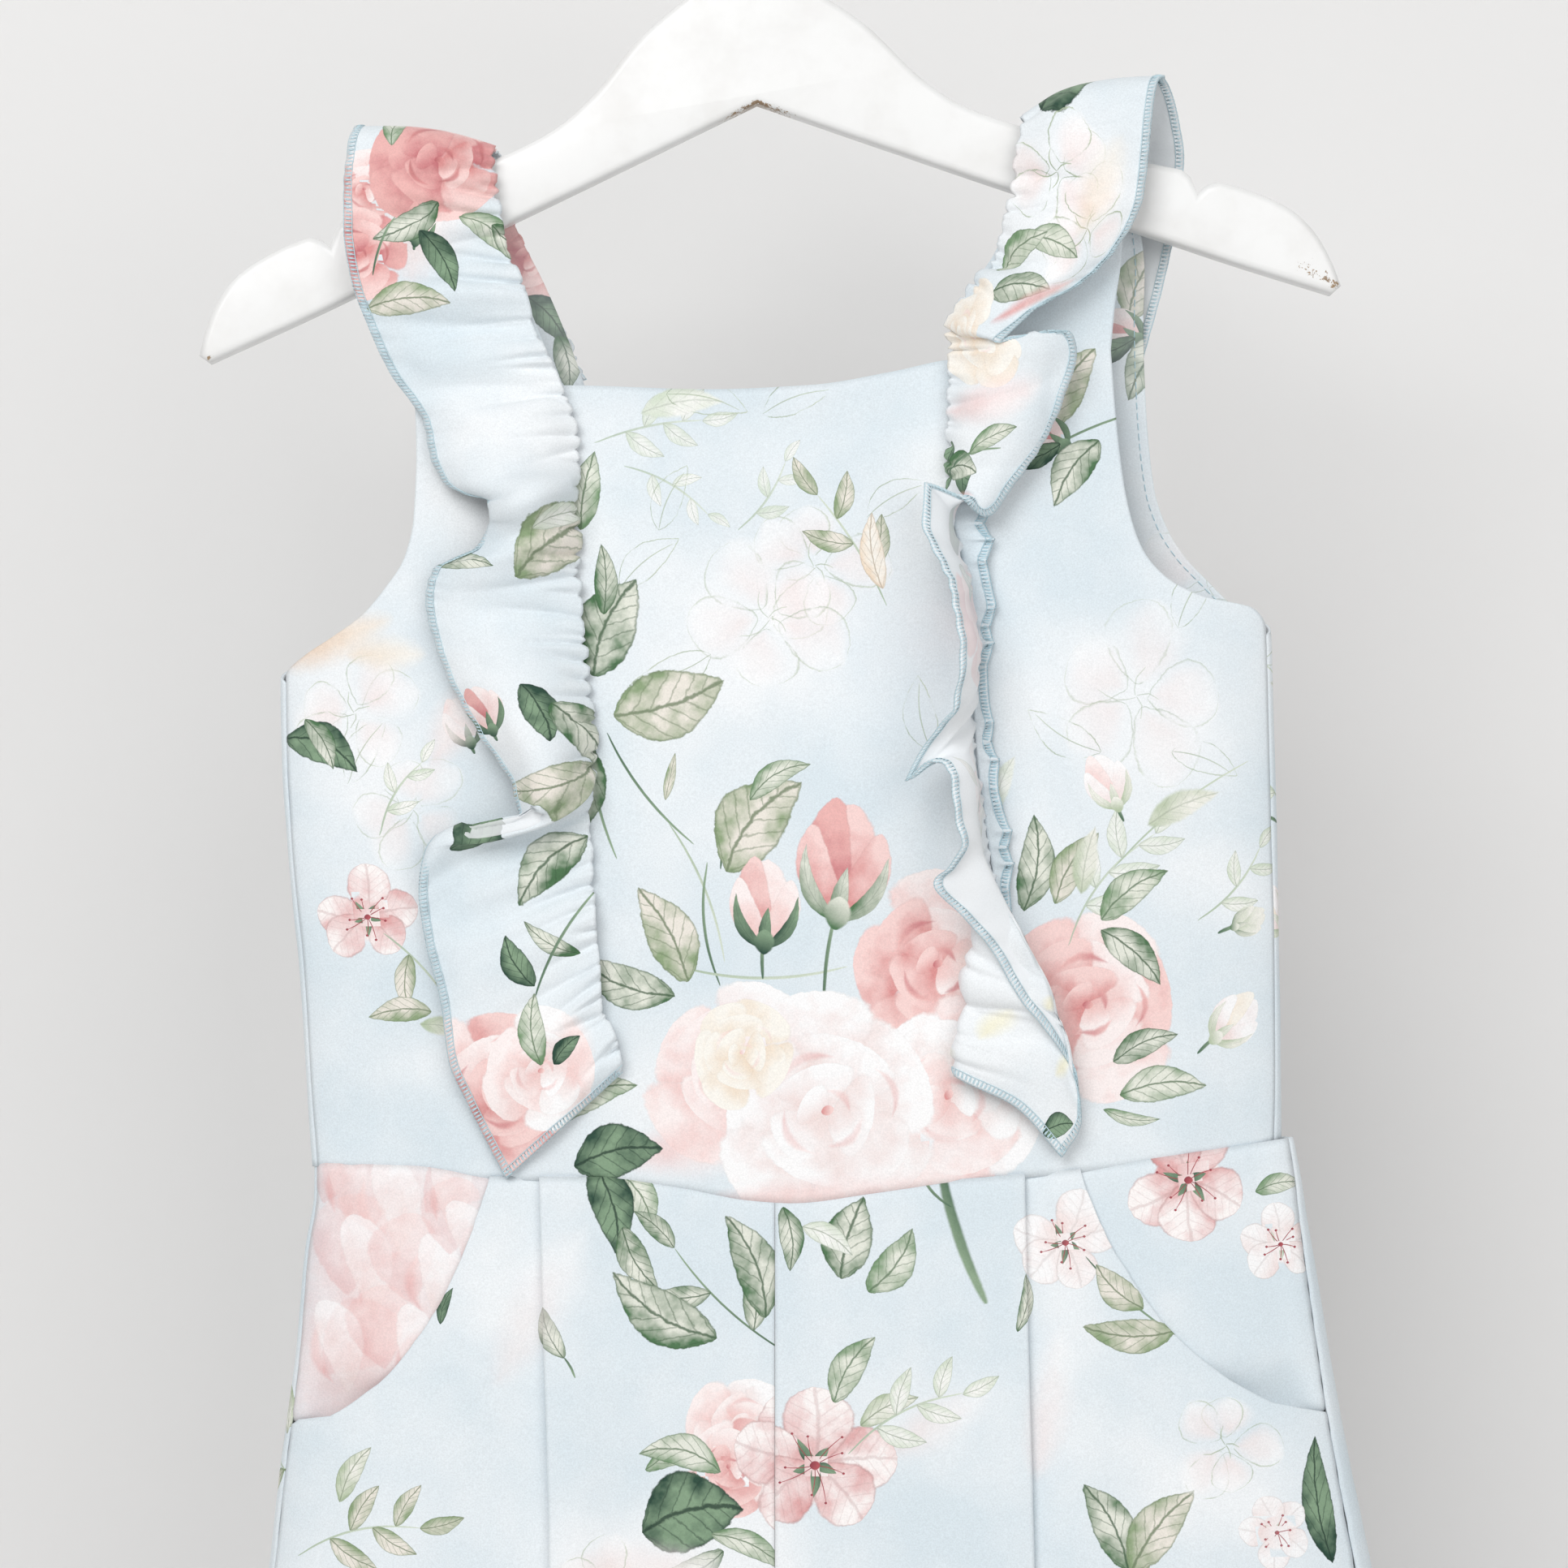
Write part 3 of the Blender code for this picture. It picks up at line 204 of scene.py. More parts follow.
# sewn edge, free edge and its height off the cloth; turn is 0 in front, 90 on top, 180 behind
leftRuffle = {
    "width": 47, "steps": 640, "across": 26, "gathers": 76, "gatherDepth": 1, "puff": 2.9, "seed": 5,
    "folds": [(-217, -229, 4, 4.2, 0.05, 1), (-227, -238, 3.5, -2.8, 0.15, 1),
              (-308, -323, 4, 3.8, 0.05, 1), (-318, -332, 3.5, -2.6, 0.15, 1),
              (-138, -146, 3, 1.6, 0, 0.8), (-148, -153, 2, -1.2, 0, 0.7), (-158, -163, 4, 1.9, 0, 0.9),
              (-170, -169, 2, -1.3, 0, 0.8), (-178, -182, 4, 1.8, 0, 0.8), (-187, -201, 4, -1, 0, 0.6),
              (-199, -215, 5, 1.3, 0.1, 0.9), (-245, -240, 4, -1.2, 0, 0.7), (-262, -258, 5, 1.8, 0, 0.9),
              (-276, -274, 3, -1.3, 0, 0.8), (-290, -292, 4, 1.5, 0, 0.7), (-340, -341, 3, -1.3, 0, 0.8),
              (-352, -350, 5, 2, 0, 0.9), (-362, -370, 3, -1.4, 0, 0.7), (-372, -384, 4, 1.8, 0, 0.9),
              (-386, -408, 4, 1.5, 0, 0.8)],
    "rows": table("rootX rootZ edgeX edgeZ lift turn", [
        (-35.3, -398.5, -70.8, -431, 2, 0), (-37.8, -388, -77.5, -418.3, 2.5, 0),
        (-42.3, -377.3, -83.3, -406.5, 4, 0), (-42.8, -367, -88, -395.5, 5, 0),
        (-44, -356, -90.6, -377, 4, 0), (-44.6, -342, -95.6, -357, 4, 0),
        (-45, -331, -97.3, -343, 6, 0), (-46, -322, -95, -329.5, 6, 0),
        (-46.3, -315, -87, -325.2, 5, 0), (-46.5, -310, -75.5, -325.6, 5, 0),
        (-46.5, -306, -66.2, -320.5, 9, 0), (-46.5, -301, -68, -310.5, 10, 0),
        (-45.8, -292, -78.3, -295, 7, 0), (-47.5, -276, -89, -275.5, 5, 0),
        (-48.8, -258, -95.3, -253.5, 5, 0), (-50.3, -244, -92.4, -243.4, 6, 0),
        (-50.5, -236, -80.5, -237.6, 7, 0), (-50.6, -229.5, -73.6, -229.6, 10, 0),
        (-51.4, -222, -75.5, -222.8, 10, 0), (-50.7, -214, -88, -218.8, 6, 0),
        (-49.6, -206, -94.2, -208.5, 4, 0), (-52, -197, -96, -199, 3, 0),
        (-56.2, -184, -106.5, -183.5, 4, 0), (-62, -172, -112.6, -170.5, 7, 0),
        (-67.5, -155, -118.6, -153.5, 9, 0), (-72.8, -141, -120.7, -138, 8, 0),
        (-75.6, -127, -120.6, -124.5, 6, 8), (-76.2, -118, -119.9, -116.5, 5, 24),
        (-76.2, -115.2, -119, -110, 5, 52), (-76, -114, -117.4, -107, 5, 90),
        (-75.9, -115.2, -115, -109, 5, 128), (-75.6, -118, -113.5, -114, 5, 156),
        (-74.8, -127, -112, -122, 6, 172), (-70, -142, -108, -139, 6, 180),
        (-62, -158, -103, -158, 5, 180), (-54, -174, -97, -176, 4, 180),
        (-49, -184, -92, -188, 3, 180)]),
}

# the right one is also led through two folds between its edges
rightRuffle = {
    "width": 47, "steps": 660, "across": 28, "gathers": 80, "gatherDepth": 1, "puff": 2.6, "seed": 8,
    "folds": [(-140, -140, 5, 1.2, 0, 0.6), (-158, -158, 4, 1.2, 0, 0.5), (-200, -206, 4, 1.3, 0, 0.5),
              (-116, -116, 4, 1.4, 0, 0.8), (-128, -129, 3, -1.2, 0, 0.7), (-149, -149, 3, -1.2, 0, 0.6),
              (-180, -184, 3, -1.4, 0, 0.9), (-190, -196, 4, 1.6, 0.1, 1), (-211, -218, 4, 1.6, 0, 0.9),
              (-256, -254, 5, 1.6, 0.3, 1.2), (-270, -268, 4, -1.4, 0.3, 1.2),
              (-318, -316, 5, 1.6, 0.3, 1.2), (-300, -302, 4, -1.3, 0.3, 1.1),
              (-344, -352, 4, 1.4, 0.2, 1.1), (-362, -372, 5, 1.6, 0.2, 1),
              (-370, -382, 3, -1.2, 0.2, 1), (-378, -392, 5, 1.4, 0.2, 1)],
    "rows": table("rootX rootZ foldX foldZ foldLift backX backZ backLift edgeX edgeZ lift turn", [
        (83, -396, 68.4, -399.5, 5, 86, -409, 4.5, 99.7, -424.3, 3.5, 0),
        (82.6, -385, 69, -391, 5.5, 95, -396, 6, 105.6, -413, 4.5, 0),
        (82.2, -374, 70.5, -380, 6, 98.5, -384, 7.5, 104.4, -400, 6.5, 0),
        (81.8, -365, 72.6, -370, 7, 97.5, -376, 9.5, 96.8, -387.5, 10.5, 0),
        (81.4, -356, 74, -361, 8.5, 94.2, -366, 11.5, 87.5, -376, 13.5, 0),
        (80.6, -347, 75.8, -351, 9.5, 88.6, -355, 13.5, 78.2, -360.5, 16, 0),
        (79.6, -339, 75.8, -341, 10.5, 82, -345, 16, 68.4, -349.5, 19, 0),
        (78.6, -332, 75.2, -333.5, 11, 76.5, -336, 19, 60.2, -340.5, 22, 0),
        (77.6, -326.5, 75.5, -328, 10, 75, -331, 19, 64.5, -335.6, 24, 0),
        (76.8, -321, 75.8, -322, 9, 75.2, -325, 19, 69.6, -329, 26, 0),
        (75.8, -313, 75.6, -313.5, 9, 74.6, -315, 19, 67.3, -318.5, 27, 0),
        (74.8, -305, 74.4, -305.5, 9, 71.6, -306, 19, 64.4, -306.5, 25, 0),
        (74.2, -298.5, 72.6, -299, 9, 67.6, -301.5, 19, 60, -303.6, 22, 0),
        (73.8, -293, 72.2, -293.5, 9, 64.5, -299, 18, 51.4, -309, 19, 0),
        (73.6, -287, 73.2, -287.5, 10, 68.5, -291, 18, 58.5, -296.5, 21, 0),
        (73.4, -278, 74.2, -278, 10, 72.6, -280, 19, 66, -286.5, 25, 0),
        (73, -264, 74.6, -264, 10, 73.4, -264.5, 20, 67.5, -266, 27, 0),
        (72.2, -252, 73.8, -252, 9, 72, -252, 19, 66.4, -250, 26, 0),
        (70.4, -243, 71.4, -243, 9, 68.8, -242.5, 18, 61.6, -240.6, 24, 0),
        (68.6, -235, 68.6, -234.5, 8, 64.6, -233.5, 16, 57, -230, 20, 0),
        (67.2, -228.5, 67.6, -227, 7, 65, -225.5, 13, 58, -217.8, 15, 0),
        (66.5, -222, 69.5, -222.5, 6, 70.2, -223.5, 10, 67, -221.5, 12, 0),
        (66.2, -216, 70, -219, 6, 73.5, -222.5, 9, 76.2, -227.9, 9, 0),
        (66.2, -208, 71.8, -211, 7, 78.5, -214.5, 10, 84, -219.2, 8, 0),
        (66.5, -197, 76, -200.5, 9, 85.5, -204, 11, 93, -206, 8, 0),
        (67.2, -186, 79.5, -188, 11, 91, -190, 12, 99.6, -192.4, 8, 0),
        (67.4, -178, 79.5, -178.5, 11, 92, -178.5, 13, 104, -177, 10, 0),
        (66.4, -172.5, 75, -173, 10, 87, -172.8, 14, 100.5, -170.8, 13, 0),
        (66.4, -168.5, 70.5, -170.2, 9, 75.5, -172.5, 14, 80.6, -174.8, 15, 0),
        (69.5, -162.5, 74.5, -165.2, 8, 81.5, -167.4, 13, 91, -165, 13, 0),
        (76.5, -154.5, 84, -157.2, 9, 93, -158.6, 12, 105.5, -156.2, 9, 0),
        (82.5, -142.5, 93, -146.5, 9, 105, -147.8, 11, 117.3, -144.2, 8, 0),
        (85.8, -130, 98, -131, 9, 111, -131.5, 10, 124.5, -129.5, 8, 0),
        (87.6, -117, 100, -116, 9, 113, -114.5, 9, 126.6, -112.5, 8, 8),
        (88.8, -108, 100.5, -106, 8, 113.5, -105, 8, 127.6, -103, 7, 24),
        (89.6, -105.2, 101, -99.5, 7, 114, -96.5, 7, 129.4, -94, 6, 52),
        (90, -104, 102, -96.6, 6, 116, -92.8, 6, 132.4, -91, 5, 90),
        (90.2, -105.2, 103.5, -99, 6, 118.5, -96, 6, 135.4, -95, 5, 128),
        (90.2, -108, 104.5, -105, 6, 120, -103, 6, 137.8, -104, 5, 156),
        (89.8, -117, 106, -114, 7, 122, -113, 7, 139.2, -114, 5, 172),
        (89.2, -130, 105, -130, 7, 121, -129.5, 7, 137.5, -130.5, 5, 180),
        (87, -146, 103, -147.5, 6, 119, -149, 6, 133.5, -150.5, 4, 180),
        (82, -162, 98, -165, 5, 114, -167.5, 5, 128.5, -169.5, 4, 180),
        (77, -174, 93, -177, 5, 109, -179.5, 5, 125.2, -181.5, 3, 180)]),
}

# where the cloth lies
waistAt = curve(*bodice["waist"].values())
neckAt = curve(*bodice["neck"].values())
bodyLeft, bodyRight, bodyDepth, backShift = curves(
    bodice["sections"], "share", "left", "right", "depth", "backShift")
legLeft, legRight, legDepth = curves(legs["sections"], "z", "left", "right", "depth")
centreAt = curve(*legs["centre"].values())


def tilted(a, b):
    return a * tiltCos - b * tiltSin, a * tiltSin + b * tiltCos


armX, armZ = tilted(np.concatenate([-hanger["top"]["a"][::-1], hanger["top"]["a"]]),
                    np.concatenate([hanger["top"]["b"][::-1], hanger["top"]["b"]]))


def armTop(x):
    return np.interp(x, armX, armZ)


def backWaistAt(x):
    t = (x - 18) / 150
    return -424.7 + 0.0245 * (x - 18) - bodice["backDip"] * np.maximum(0.0, 1 - t * t)


def backNeckAt(x):
    return neckAt(x - 8) - bodice["backDrop"]


def levelInBody(x, share, isBack):
    waist = backWaistAt(x) if isBack else waistAt(x)
    neck = backNeckAt(x) if isBack else neckAt(x)
    return waist + (neck - waist) * share


def sectionDepth(x, left, right, depth):
    t = np.minimum(np.abs(x - (left + right) / 2) / ((right - left) / 2), 1.0)
    return depth * (1 - t ** cloth["roundness"]) ** (1 / cloth["roundness"])


def sectionAngle(x, left, right, isBack):
    t = min(max((x - (left + right) / 2) / ((right - left) / 2), -1.0), 1.0)
    turned = math.degrees(math.acos(math.copysign(abs(t) ** (cloth["roundness"] / 2), t)))
    return turned if isBack else 360 - turned


# the body's section from angle to angle; 0 is the right side, 90 behind, 180 left, 270 in front
def sectionRun(left, right, depth, start, end, stops):
    angles = np.radians(np.linspace(start, end, 220))
    power = 2 / cloth["roundness"]
    x = (left + right) / 2 + (right - left) / 2 * np.sign(np.cos(angles)) * np.abs(np.cos(angles)) ** power
    y = depth * np.sign(np.sin(angles)) * np.abs(np.sin(angles)) ** power
    return resample(asPoints(x, y), stops)


# how far the middle of the wall lies from the middle plane, on the bodice or a strap
def clothDepth(x, z):
    neck = neckAt(x)
    share = np.clip((z - waistAt(x)) / (neck - waistAt(x)), 0.0, 1.0)
    left, right = bodyLeft(share), bodyRight(share)
    inset = 0.06 * (right - left)  # the body's rounded sides don't count
    body = sectionDepth(np.clip(x, left + inset, right - inset), left, right, bodyDepth(share))
    climb = (z - neck) / np.maximum(armTop(x) - strap["bendBelowTop"] - neck, 1.0)
    return body + (strapDepth - body) * ease(climb)


# strap rows from the neckline up, then round the hanger's upper edge to the shoulder seam
def strapRows(neckRow, edges, facing):
    rows = []
    for climb in np.linspace(0, 1, 31)[1:]:
        x = edges(climb)
        start = neckAt(x) if facing < 0 else backNeckAt(x)
        z = start + (armTop(x) - strap["bendBelowTop"] - start) * climb
        depth = np.abs(neckRow[:, 1]) + (strapDepth - np.abs(neckRow[:, 1])) * ease(climb)
        rows.append(asPoints(x, facing * depth, z))
    for angle in (8, 16, 24, 32, 40, 48, 56, 64, 72, 80, 88.5):
        bend = math.radians(angle)
        out = strapDepth * math.cos(bend) ** strap["bendSquareness"]
        up = (strap["bendBelowTop"] + strap["clear"]) * math.sin(bend) ** strap["bendSquareness"]
        if angle > 88:
            out = cloth["seamGap"] / 2
        x = edges(1)
        rows.append(np.stack([x, np.full(len(x), facing * out), armTop(x) - strap["bendBelowTop"] + up],
                             axis=1))
    return rows


# closer rows where the armholes begin
bodyShares = np.concatenate([np.linspace(0, .64, 58), np.linspace(.64, .75, 22)[1:],
                             np.linspace(.75, 1, 26)[1:]])


def joined(*parts):
    return np.concatenate([parts[0]] + [part[1:] for part in parts[1:]])


def frontGrid():
    side, middle = crowded(30, start=True), np.linspace(0, 1, 47)
    lines = [curve(*bodice[key].values()) for key in ("frontLeft", "leftSewn", "rightSewn", "frontRight")]
    rows = []
    for share in bodyShares:
        left, right, depth = bodyLeft(share), bodyRight(share), bodyDepth(share)
        turns = [sectionAngle(float(line(share)), left, right, False) for line in lines]
        run = joined(sectionRun(left, right, depth, turns[0], turns[1], side),
                     sectionRun(left, right, depth, turns[1], turns[2], middle),
                     sectionRun(left, right, depth, turns[2], turns[3], 1 - side[::-1]))
        rows.append(asPoints(run[:, 0], run[:, 1], levelInBody(run[:, 0], share, False)))
    leftInner, leftOuter = curves(strap["left"], "climb", "inner", "outer")
    rightInner, rightOuter = curves(strap["right"], "climb", "inner", "outer")

    def edges(climb):
        return joined(leftOuter(climb) + (leftInner(climb) - leftOuter(climb)) * side,
                      leftInner(climb) + (rightInner(climb) - leftInner(climb)) * middle,
                      rightInner(climb) + (rightOuter(climb) - rightInner(climb)) * (1 - side[::-1]))

    grid = np.array(rows + strapRows(rows[-1], edges, -1))
    present = np.ones((len(grid) - 1, grid.shape[1] - 1), bool)
    present[len(rows) - 1:, len(side) - 1:len(side) + len(middle) - 2] = False  # above the neckline
    return grid, present


def backGrid(isLeft):
    middle, side = np.linspace(0, 1, 23), crowded(34, end=True)
    away = -1 if isLeft else 1
    keys = ("leftSewn", "frontLeft", "backLeft") if isLeft else ("rightSewn", "frontRight", "backRight")
    sewn, seam, armhole = [curve(*bodice[key].values()) for key in keys]
    centre = bodice["centreBack"] + away * cloth["seamGap"] / 2
    seamTop, armholeLow = bodice["seamTop"], bodice["armholeLow"]

    def edgeAngle(share):
        left, right = bodyLeft(share), bodyRight(share)
        if share <= seamTop:
            turned = sectionAngle(float(seam(share)) + away * cloth["seamGap"], left, right, False)
            return turned if isLeft else turned - 360
        if share >= armholeLow:
            return sectionAngle(float(armhole(share)), left, right, True)
        part = (share - seamTop) / (armholeLow - seamTop)
        return edgeAngle(seamTop) * (1 - part) + edgeAngle(armholeLow) * part

    rows = []
    for share in bodyShares:
        left, right, depth = bodyLeft(share), bodyRight(share), bodyDepth(share)
        inner = float(sewn(share) + backShift(share))
        flat = centre + (inner - centre) * middle
        flat = asPoints(flat, sectionDepth(flat, left, right, depth))
        turned = sectionRun(left, right, depth, sectionAngle(inner, left, right, True),
                            edgeAngle(share), side)
        run = joined(flat, turned)
        rows.append(asPoints(run[:, 0], run[:, 1], levelInBody(run[:, 0], share, True)))
    inner, outer = curves(strap["left" if isLeft else "right"], "climb", "backInner", "backOuter")

    def edges(climb):
        return joined(centre + (inner(climb) - centre) * middle,
                      inner(climb) + (outer(climb) - inner(climb)) * side)

    grid = np.array(rows + strapRows(rows[-1], edges, 1))
    present = np.ones((len(grid) - 1, grid.shape[1] - 1), bool)
    present[len(rows) - 1:, :len(middle) - 1] = False
    return grid, present


def legLevel(x, level, isBack=False):
    waist = backWaistAt(x) if isBack else waistAt(x)
    fade = 1 - ease((legs["top"] - level) / legs["waistFade"])
    return level + (waist - cloth["seamGap"] - legs["top"]) * fade


# half of a leg's section at one level, from the side to the middle
def legProfile(level, isLeft, isBack=False):
    away = -1 if isLeft else 1
    outer = legLeft(level) if isLeft else legRight(level)
    apart = ease((legs["crotch"] - level) / (legs["crotch"] - legs["hem"])) * legs["gapAtHem"] / 2
    curl = ease((level - legs["crotch"] - legs["curl"]) / -legs["curl"])
    inner = centreAt(level) + away * (cloth["seamGap"] / 2 + apart + curl / 2)
    phi = np.radians(np.linspace(0, 90, 90))
    power = 2 / cloth["roundness"]
    inward = abs(outer - inner) / 2 * (1 - np.cos(phi) ** power)
    rounding = np.sin(phi) ** power
    x = np.concatenate([outer - away * inward, inner + away * inward[::-1][1:]])
    seat = (1 - curl) + curl * rounding[::-1][1:]
    whole = np.concatenate([rounding, rounding[::-1][1:]])
    across = (x - outer) / (inner - outer)
    growth = ease((legs["top"] - level) / (legs["top"] - legs["hem"]))
    wave = np.sin(2 * math.pi * (legs["waves"] * across + 0.12 * away) + (2.1 if isBack else 0.4))
    y = legDepth(level) * np.concatenate([rounding, seat])
    return x, np.maximum(y + legs["waveHeight"] * growth * wave * whole ** 4, cloth["seamGap"] / 2)


# the side and the middle of the leg, cut where the side seam lies
def legRing(level, isLeft, isBack=False, ahead=3.0):
    x, y = legProfile(level, isLeft, isBack)
    ring = resample(asPoints(x, y), np.linspace(0, 1, 500))
    walked = distances(ring)
    return ring[walked >= ahead], ring[walked < ahead]


def pleatProfile(under, pitch):
    r = pitch / 2
    turns = np.radians(np.linspace(-90, 90, 8))
    runs = [np.array([(-1.5, -pitch), (under * .4, -pitch)]),
            asPoints(under - r + r * np.cos(turns), -r + r * np.sin(turns)),
            np.array([(under * .5, 0)]),
            asPoints(r - r * np.cos(turns), r + r * np.sin(turns)),
            np.array([(under * .4, pitch), (under * .6, pitch)])]
    return np.concatenate(runs)


def nearPleat(x, start, pitch):
    return pitch * (1 - ease(np.abs(x - start) / legs["pleatEase"]))


# holds a leg on its own side of the middle, and its front clear of its back
def keepApart(isLeft, isBack, inner=12):
    away = -1 if isLeft else 1

    def limit(skin):
        kept = skin.copy()
        wall = centreAt(kept[..., 2]) + away * cloth["seamGap"] / 2
        kept[..., 0] = np.minimum(kept[..., 0], wall) if isLeft else np.maximum(kept[..., 0], wall)
        if isBack:
            kept[:, -inner:, 1] = np.maximum(kept[:, -inner:, 1], cloth["seamGap"] / 2)
        else:
            kept[..., 1] = np.minimum(kept[..., 1], -cloth["seamGap"] / 2)
        return kept
    return limit


# closer rows where the pockets end
legLevels = np.concatenate([np.linspace(legs["top"], -500, 28), np.linspace(-500, -513, 9)[1:],
                            np.linspace(-513, legs["hem"], 72)[1:]])


# the side seam comes forward toward the hem, more on the right leg
def seamAheadAt(level, isLeft):
    down = np.clip((-425 - level) / 310, 0, 1) ** 0.5
    return legs["seamAhead"] + legs["seamForward"][0 if isLeft else 1] * down


def legFrontGrid(isLeft):
    away = -1 if isLeft else 1
    pocket = legs["leftPocket" if isLeft else "rightPocket"]
    pocketEdge = curve(*pocket.values())
    lowest = pocket["z"].min()
    pleatX, pleatUnder, pleatPitch = curves(legs["leftPleat" if isLeft else "rightPleat"],
                                            "z", "x", "under", "pitch")
    rows = []
    for level in legLevels:
        ring, _ = legRing(level, isLeft, ahead=seamAheadAt(level, isLeft))
        order = np.argsort(ring[:, 0])
        edge = pocketEdge(level)
        for _ in range(4):
            edge = pocketEdge(legLevel(edge, level))
        toSide = ease((lowest + 3.2 - level) / 2.6)
        edge = edge + (ring[0, 0] - edge) * toSide
        line, pitch = pleatX(level), pleatPitch(level)
        folds = pleatProfile(pleatUnder(level), pitch)
        folds[:, 0] = line - away * folds[:, 0]
        outer = ring[(away * (edge - ring[:, 0]) >= 0) & (away * (ring[:, 0] - folds[0, 0]) > 0)]
        outer = resample(outer, crowded(26, start=True))[:-1]
        outer[:, 1] -= nearPleat(outer[:, 0], folds[0, 0], pitch)
        folds[:, 1] += np.interp(folds[:, 0], ring[order, 0], ring[order, 1])
        inner = resample(ring[away * (ring[:, 0] - folds[-1, 0]) < 0], crowded(24, end=True))[1:]
        inner[:, 1] += nearPleat(inner[:, 0], folds[-1, 0], pitch)
        run = np.concatenate([outer, folds, inner])
        rows.append(asPoints(run[:, 0], -run[:, 1], legLevel(run[:, 0], level)))
    return tuckedTop(np.array(rows))


# the top edge runs up behind the bodice's edge, as in a pressed seam
def tuckedTop(grid):
    grid[0, :, 2] += 1.3
    grid[0, :, 1] -= np.sign(grid[0, :, 1]) * np.minimum(np.abs(grid[0, :, 1]), 1.1)
    grid[1, :, 2] += 0.25 * (grid[0, :, 2] - grid[1, :, 2])
    return grid


def legBackGrid(isLeft):
    rows = []
    for level in legLevels:
        ring, ahead = legRing(level, isLeft, True, seamAheadAt(level, isLeft) - cloth["seamGap"])
        whole = np.concatenate([ahead[::-1] * (1, -1), ring])
        run = resample(whole, crowded(52, start=True, end=True))
        blend = ease((run[:, 1] - 1) / 5)
        z = legLevel(run[:, 0], level) * (1 - blend) + legLevel(run[:, 0], level, True) * blend
        rows.append(asPoints(run[:, 0], run[:, 1], z))
    return tuckedTop(np.array(rows))


def facingGrid(isLeft):
    away = -1 if isLeft else 1
    pocket = legs["leftPocket" if isLeft else "rightPocket"]
    pleatX, pleatPitch = curves(legs["leftPleat" if isLeft else "rightPleat"], "z", "x", "pitch")
    pocketEdge = curve(*pocket.values())
    lowest = pocket["z"].min()
    rows = []
    for level in np.linspace(legs["top"], legs["facingEnd"], 36):
        later = 4.5 * ease((lowest + 2.3 - level) / 6)
        ring, _ = legRing(level, isLeft, ahead=seamAheadAt(level, isLeft) + later)
        end = pocketEdge(min(level + legs["overlap"], pocket["z"].max())) - away * legs["overlap"] * .6
        ring = ring[away * (ring[:, 0] - end) > 0]
        steep = np.abs(np.gradient(ring[:, 1])) / np.maximum(np.abs(np.gradient(ring[:, 0])), 1e-6)
        slope = np.interp(np.linspace(0, 1, 31), np.linspace(0, 1, len(ring)),
                          np.minimum(np.hypot(1, steep), 2.4))
        run = resample(ring, np.linspace(0, 1, 31))
        inside = ease(np.abs(run[:, 0] - ring[0, 0]) / 12)
        late = ease((lowest + 2.7 - level) / 4.5)
        low = late + (ease((legs["tuck"] - 10 - level) / 14) - late) * inside
        sink = 1.5 * np.maximum(inside, low) * slope + legs["drop"] * low
        sink += nearPleat(run[:, 0], pleatX(level) + away * 1.5, pleatPitch(level))
        rows.append(asPoints(run[:, 0], -(run[:, 1] - sink), legLevel(run[:, 0], level)))
    return tuckedTop(np.array(rows))


# a point off the cloth: turn 0 is in front of it, 90 over the shoulder, 180 behind
def offCloth(x, z, turn, lift):
    facing = np.cos(np.radians(turn))
    reach = np.sign(facing) * np.abs(facing) ** strap["bendSquareness"]
    return asPoints(x, -reach * (clothDepth(x, z) + 0.5 + lift), z)


def bezierThrough(stops, w):
    place = w * (len(stops) - 1)
    i = min(int(place), len(stops) - 2)
    t = place - i
    before = stops[i - 1] if i > 0 else 2 * stops[0] - stops[1]
    after = stops[i + 2] if i + 2 < len(stops) else 2 * stops[-1] - stops[-2]
    one, two = stops[i], stops[i + 1]
    return (one + t * (two - before) / 2 + t * t * (before - 2.5 * one + 2 * two - after / 2)
            + t ** 3 * (1.5 * (one - two) + (after - before) / 2))


# evens out a grid's values along its length, over a few rows
def softened(values, reach=9):
    weights = np.hanning(2 * reach + 1)
    padded = np.pad(values, ((reach, reach), (0, 0)), mode="edge")
    return np.stack([np.convolve(column, weights / weights.sum(), "valid") for column in padded.T], axis=1)


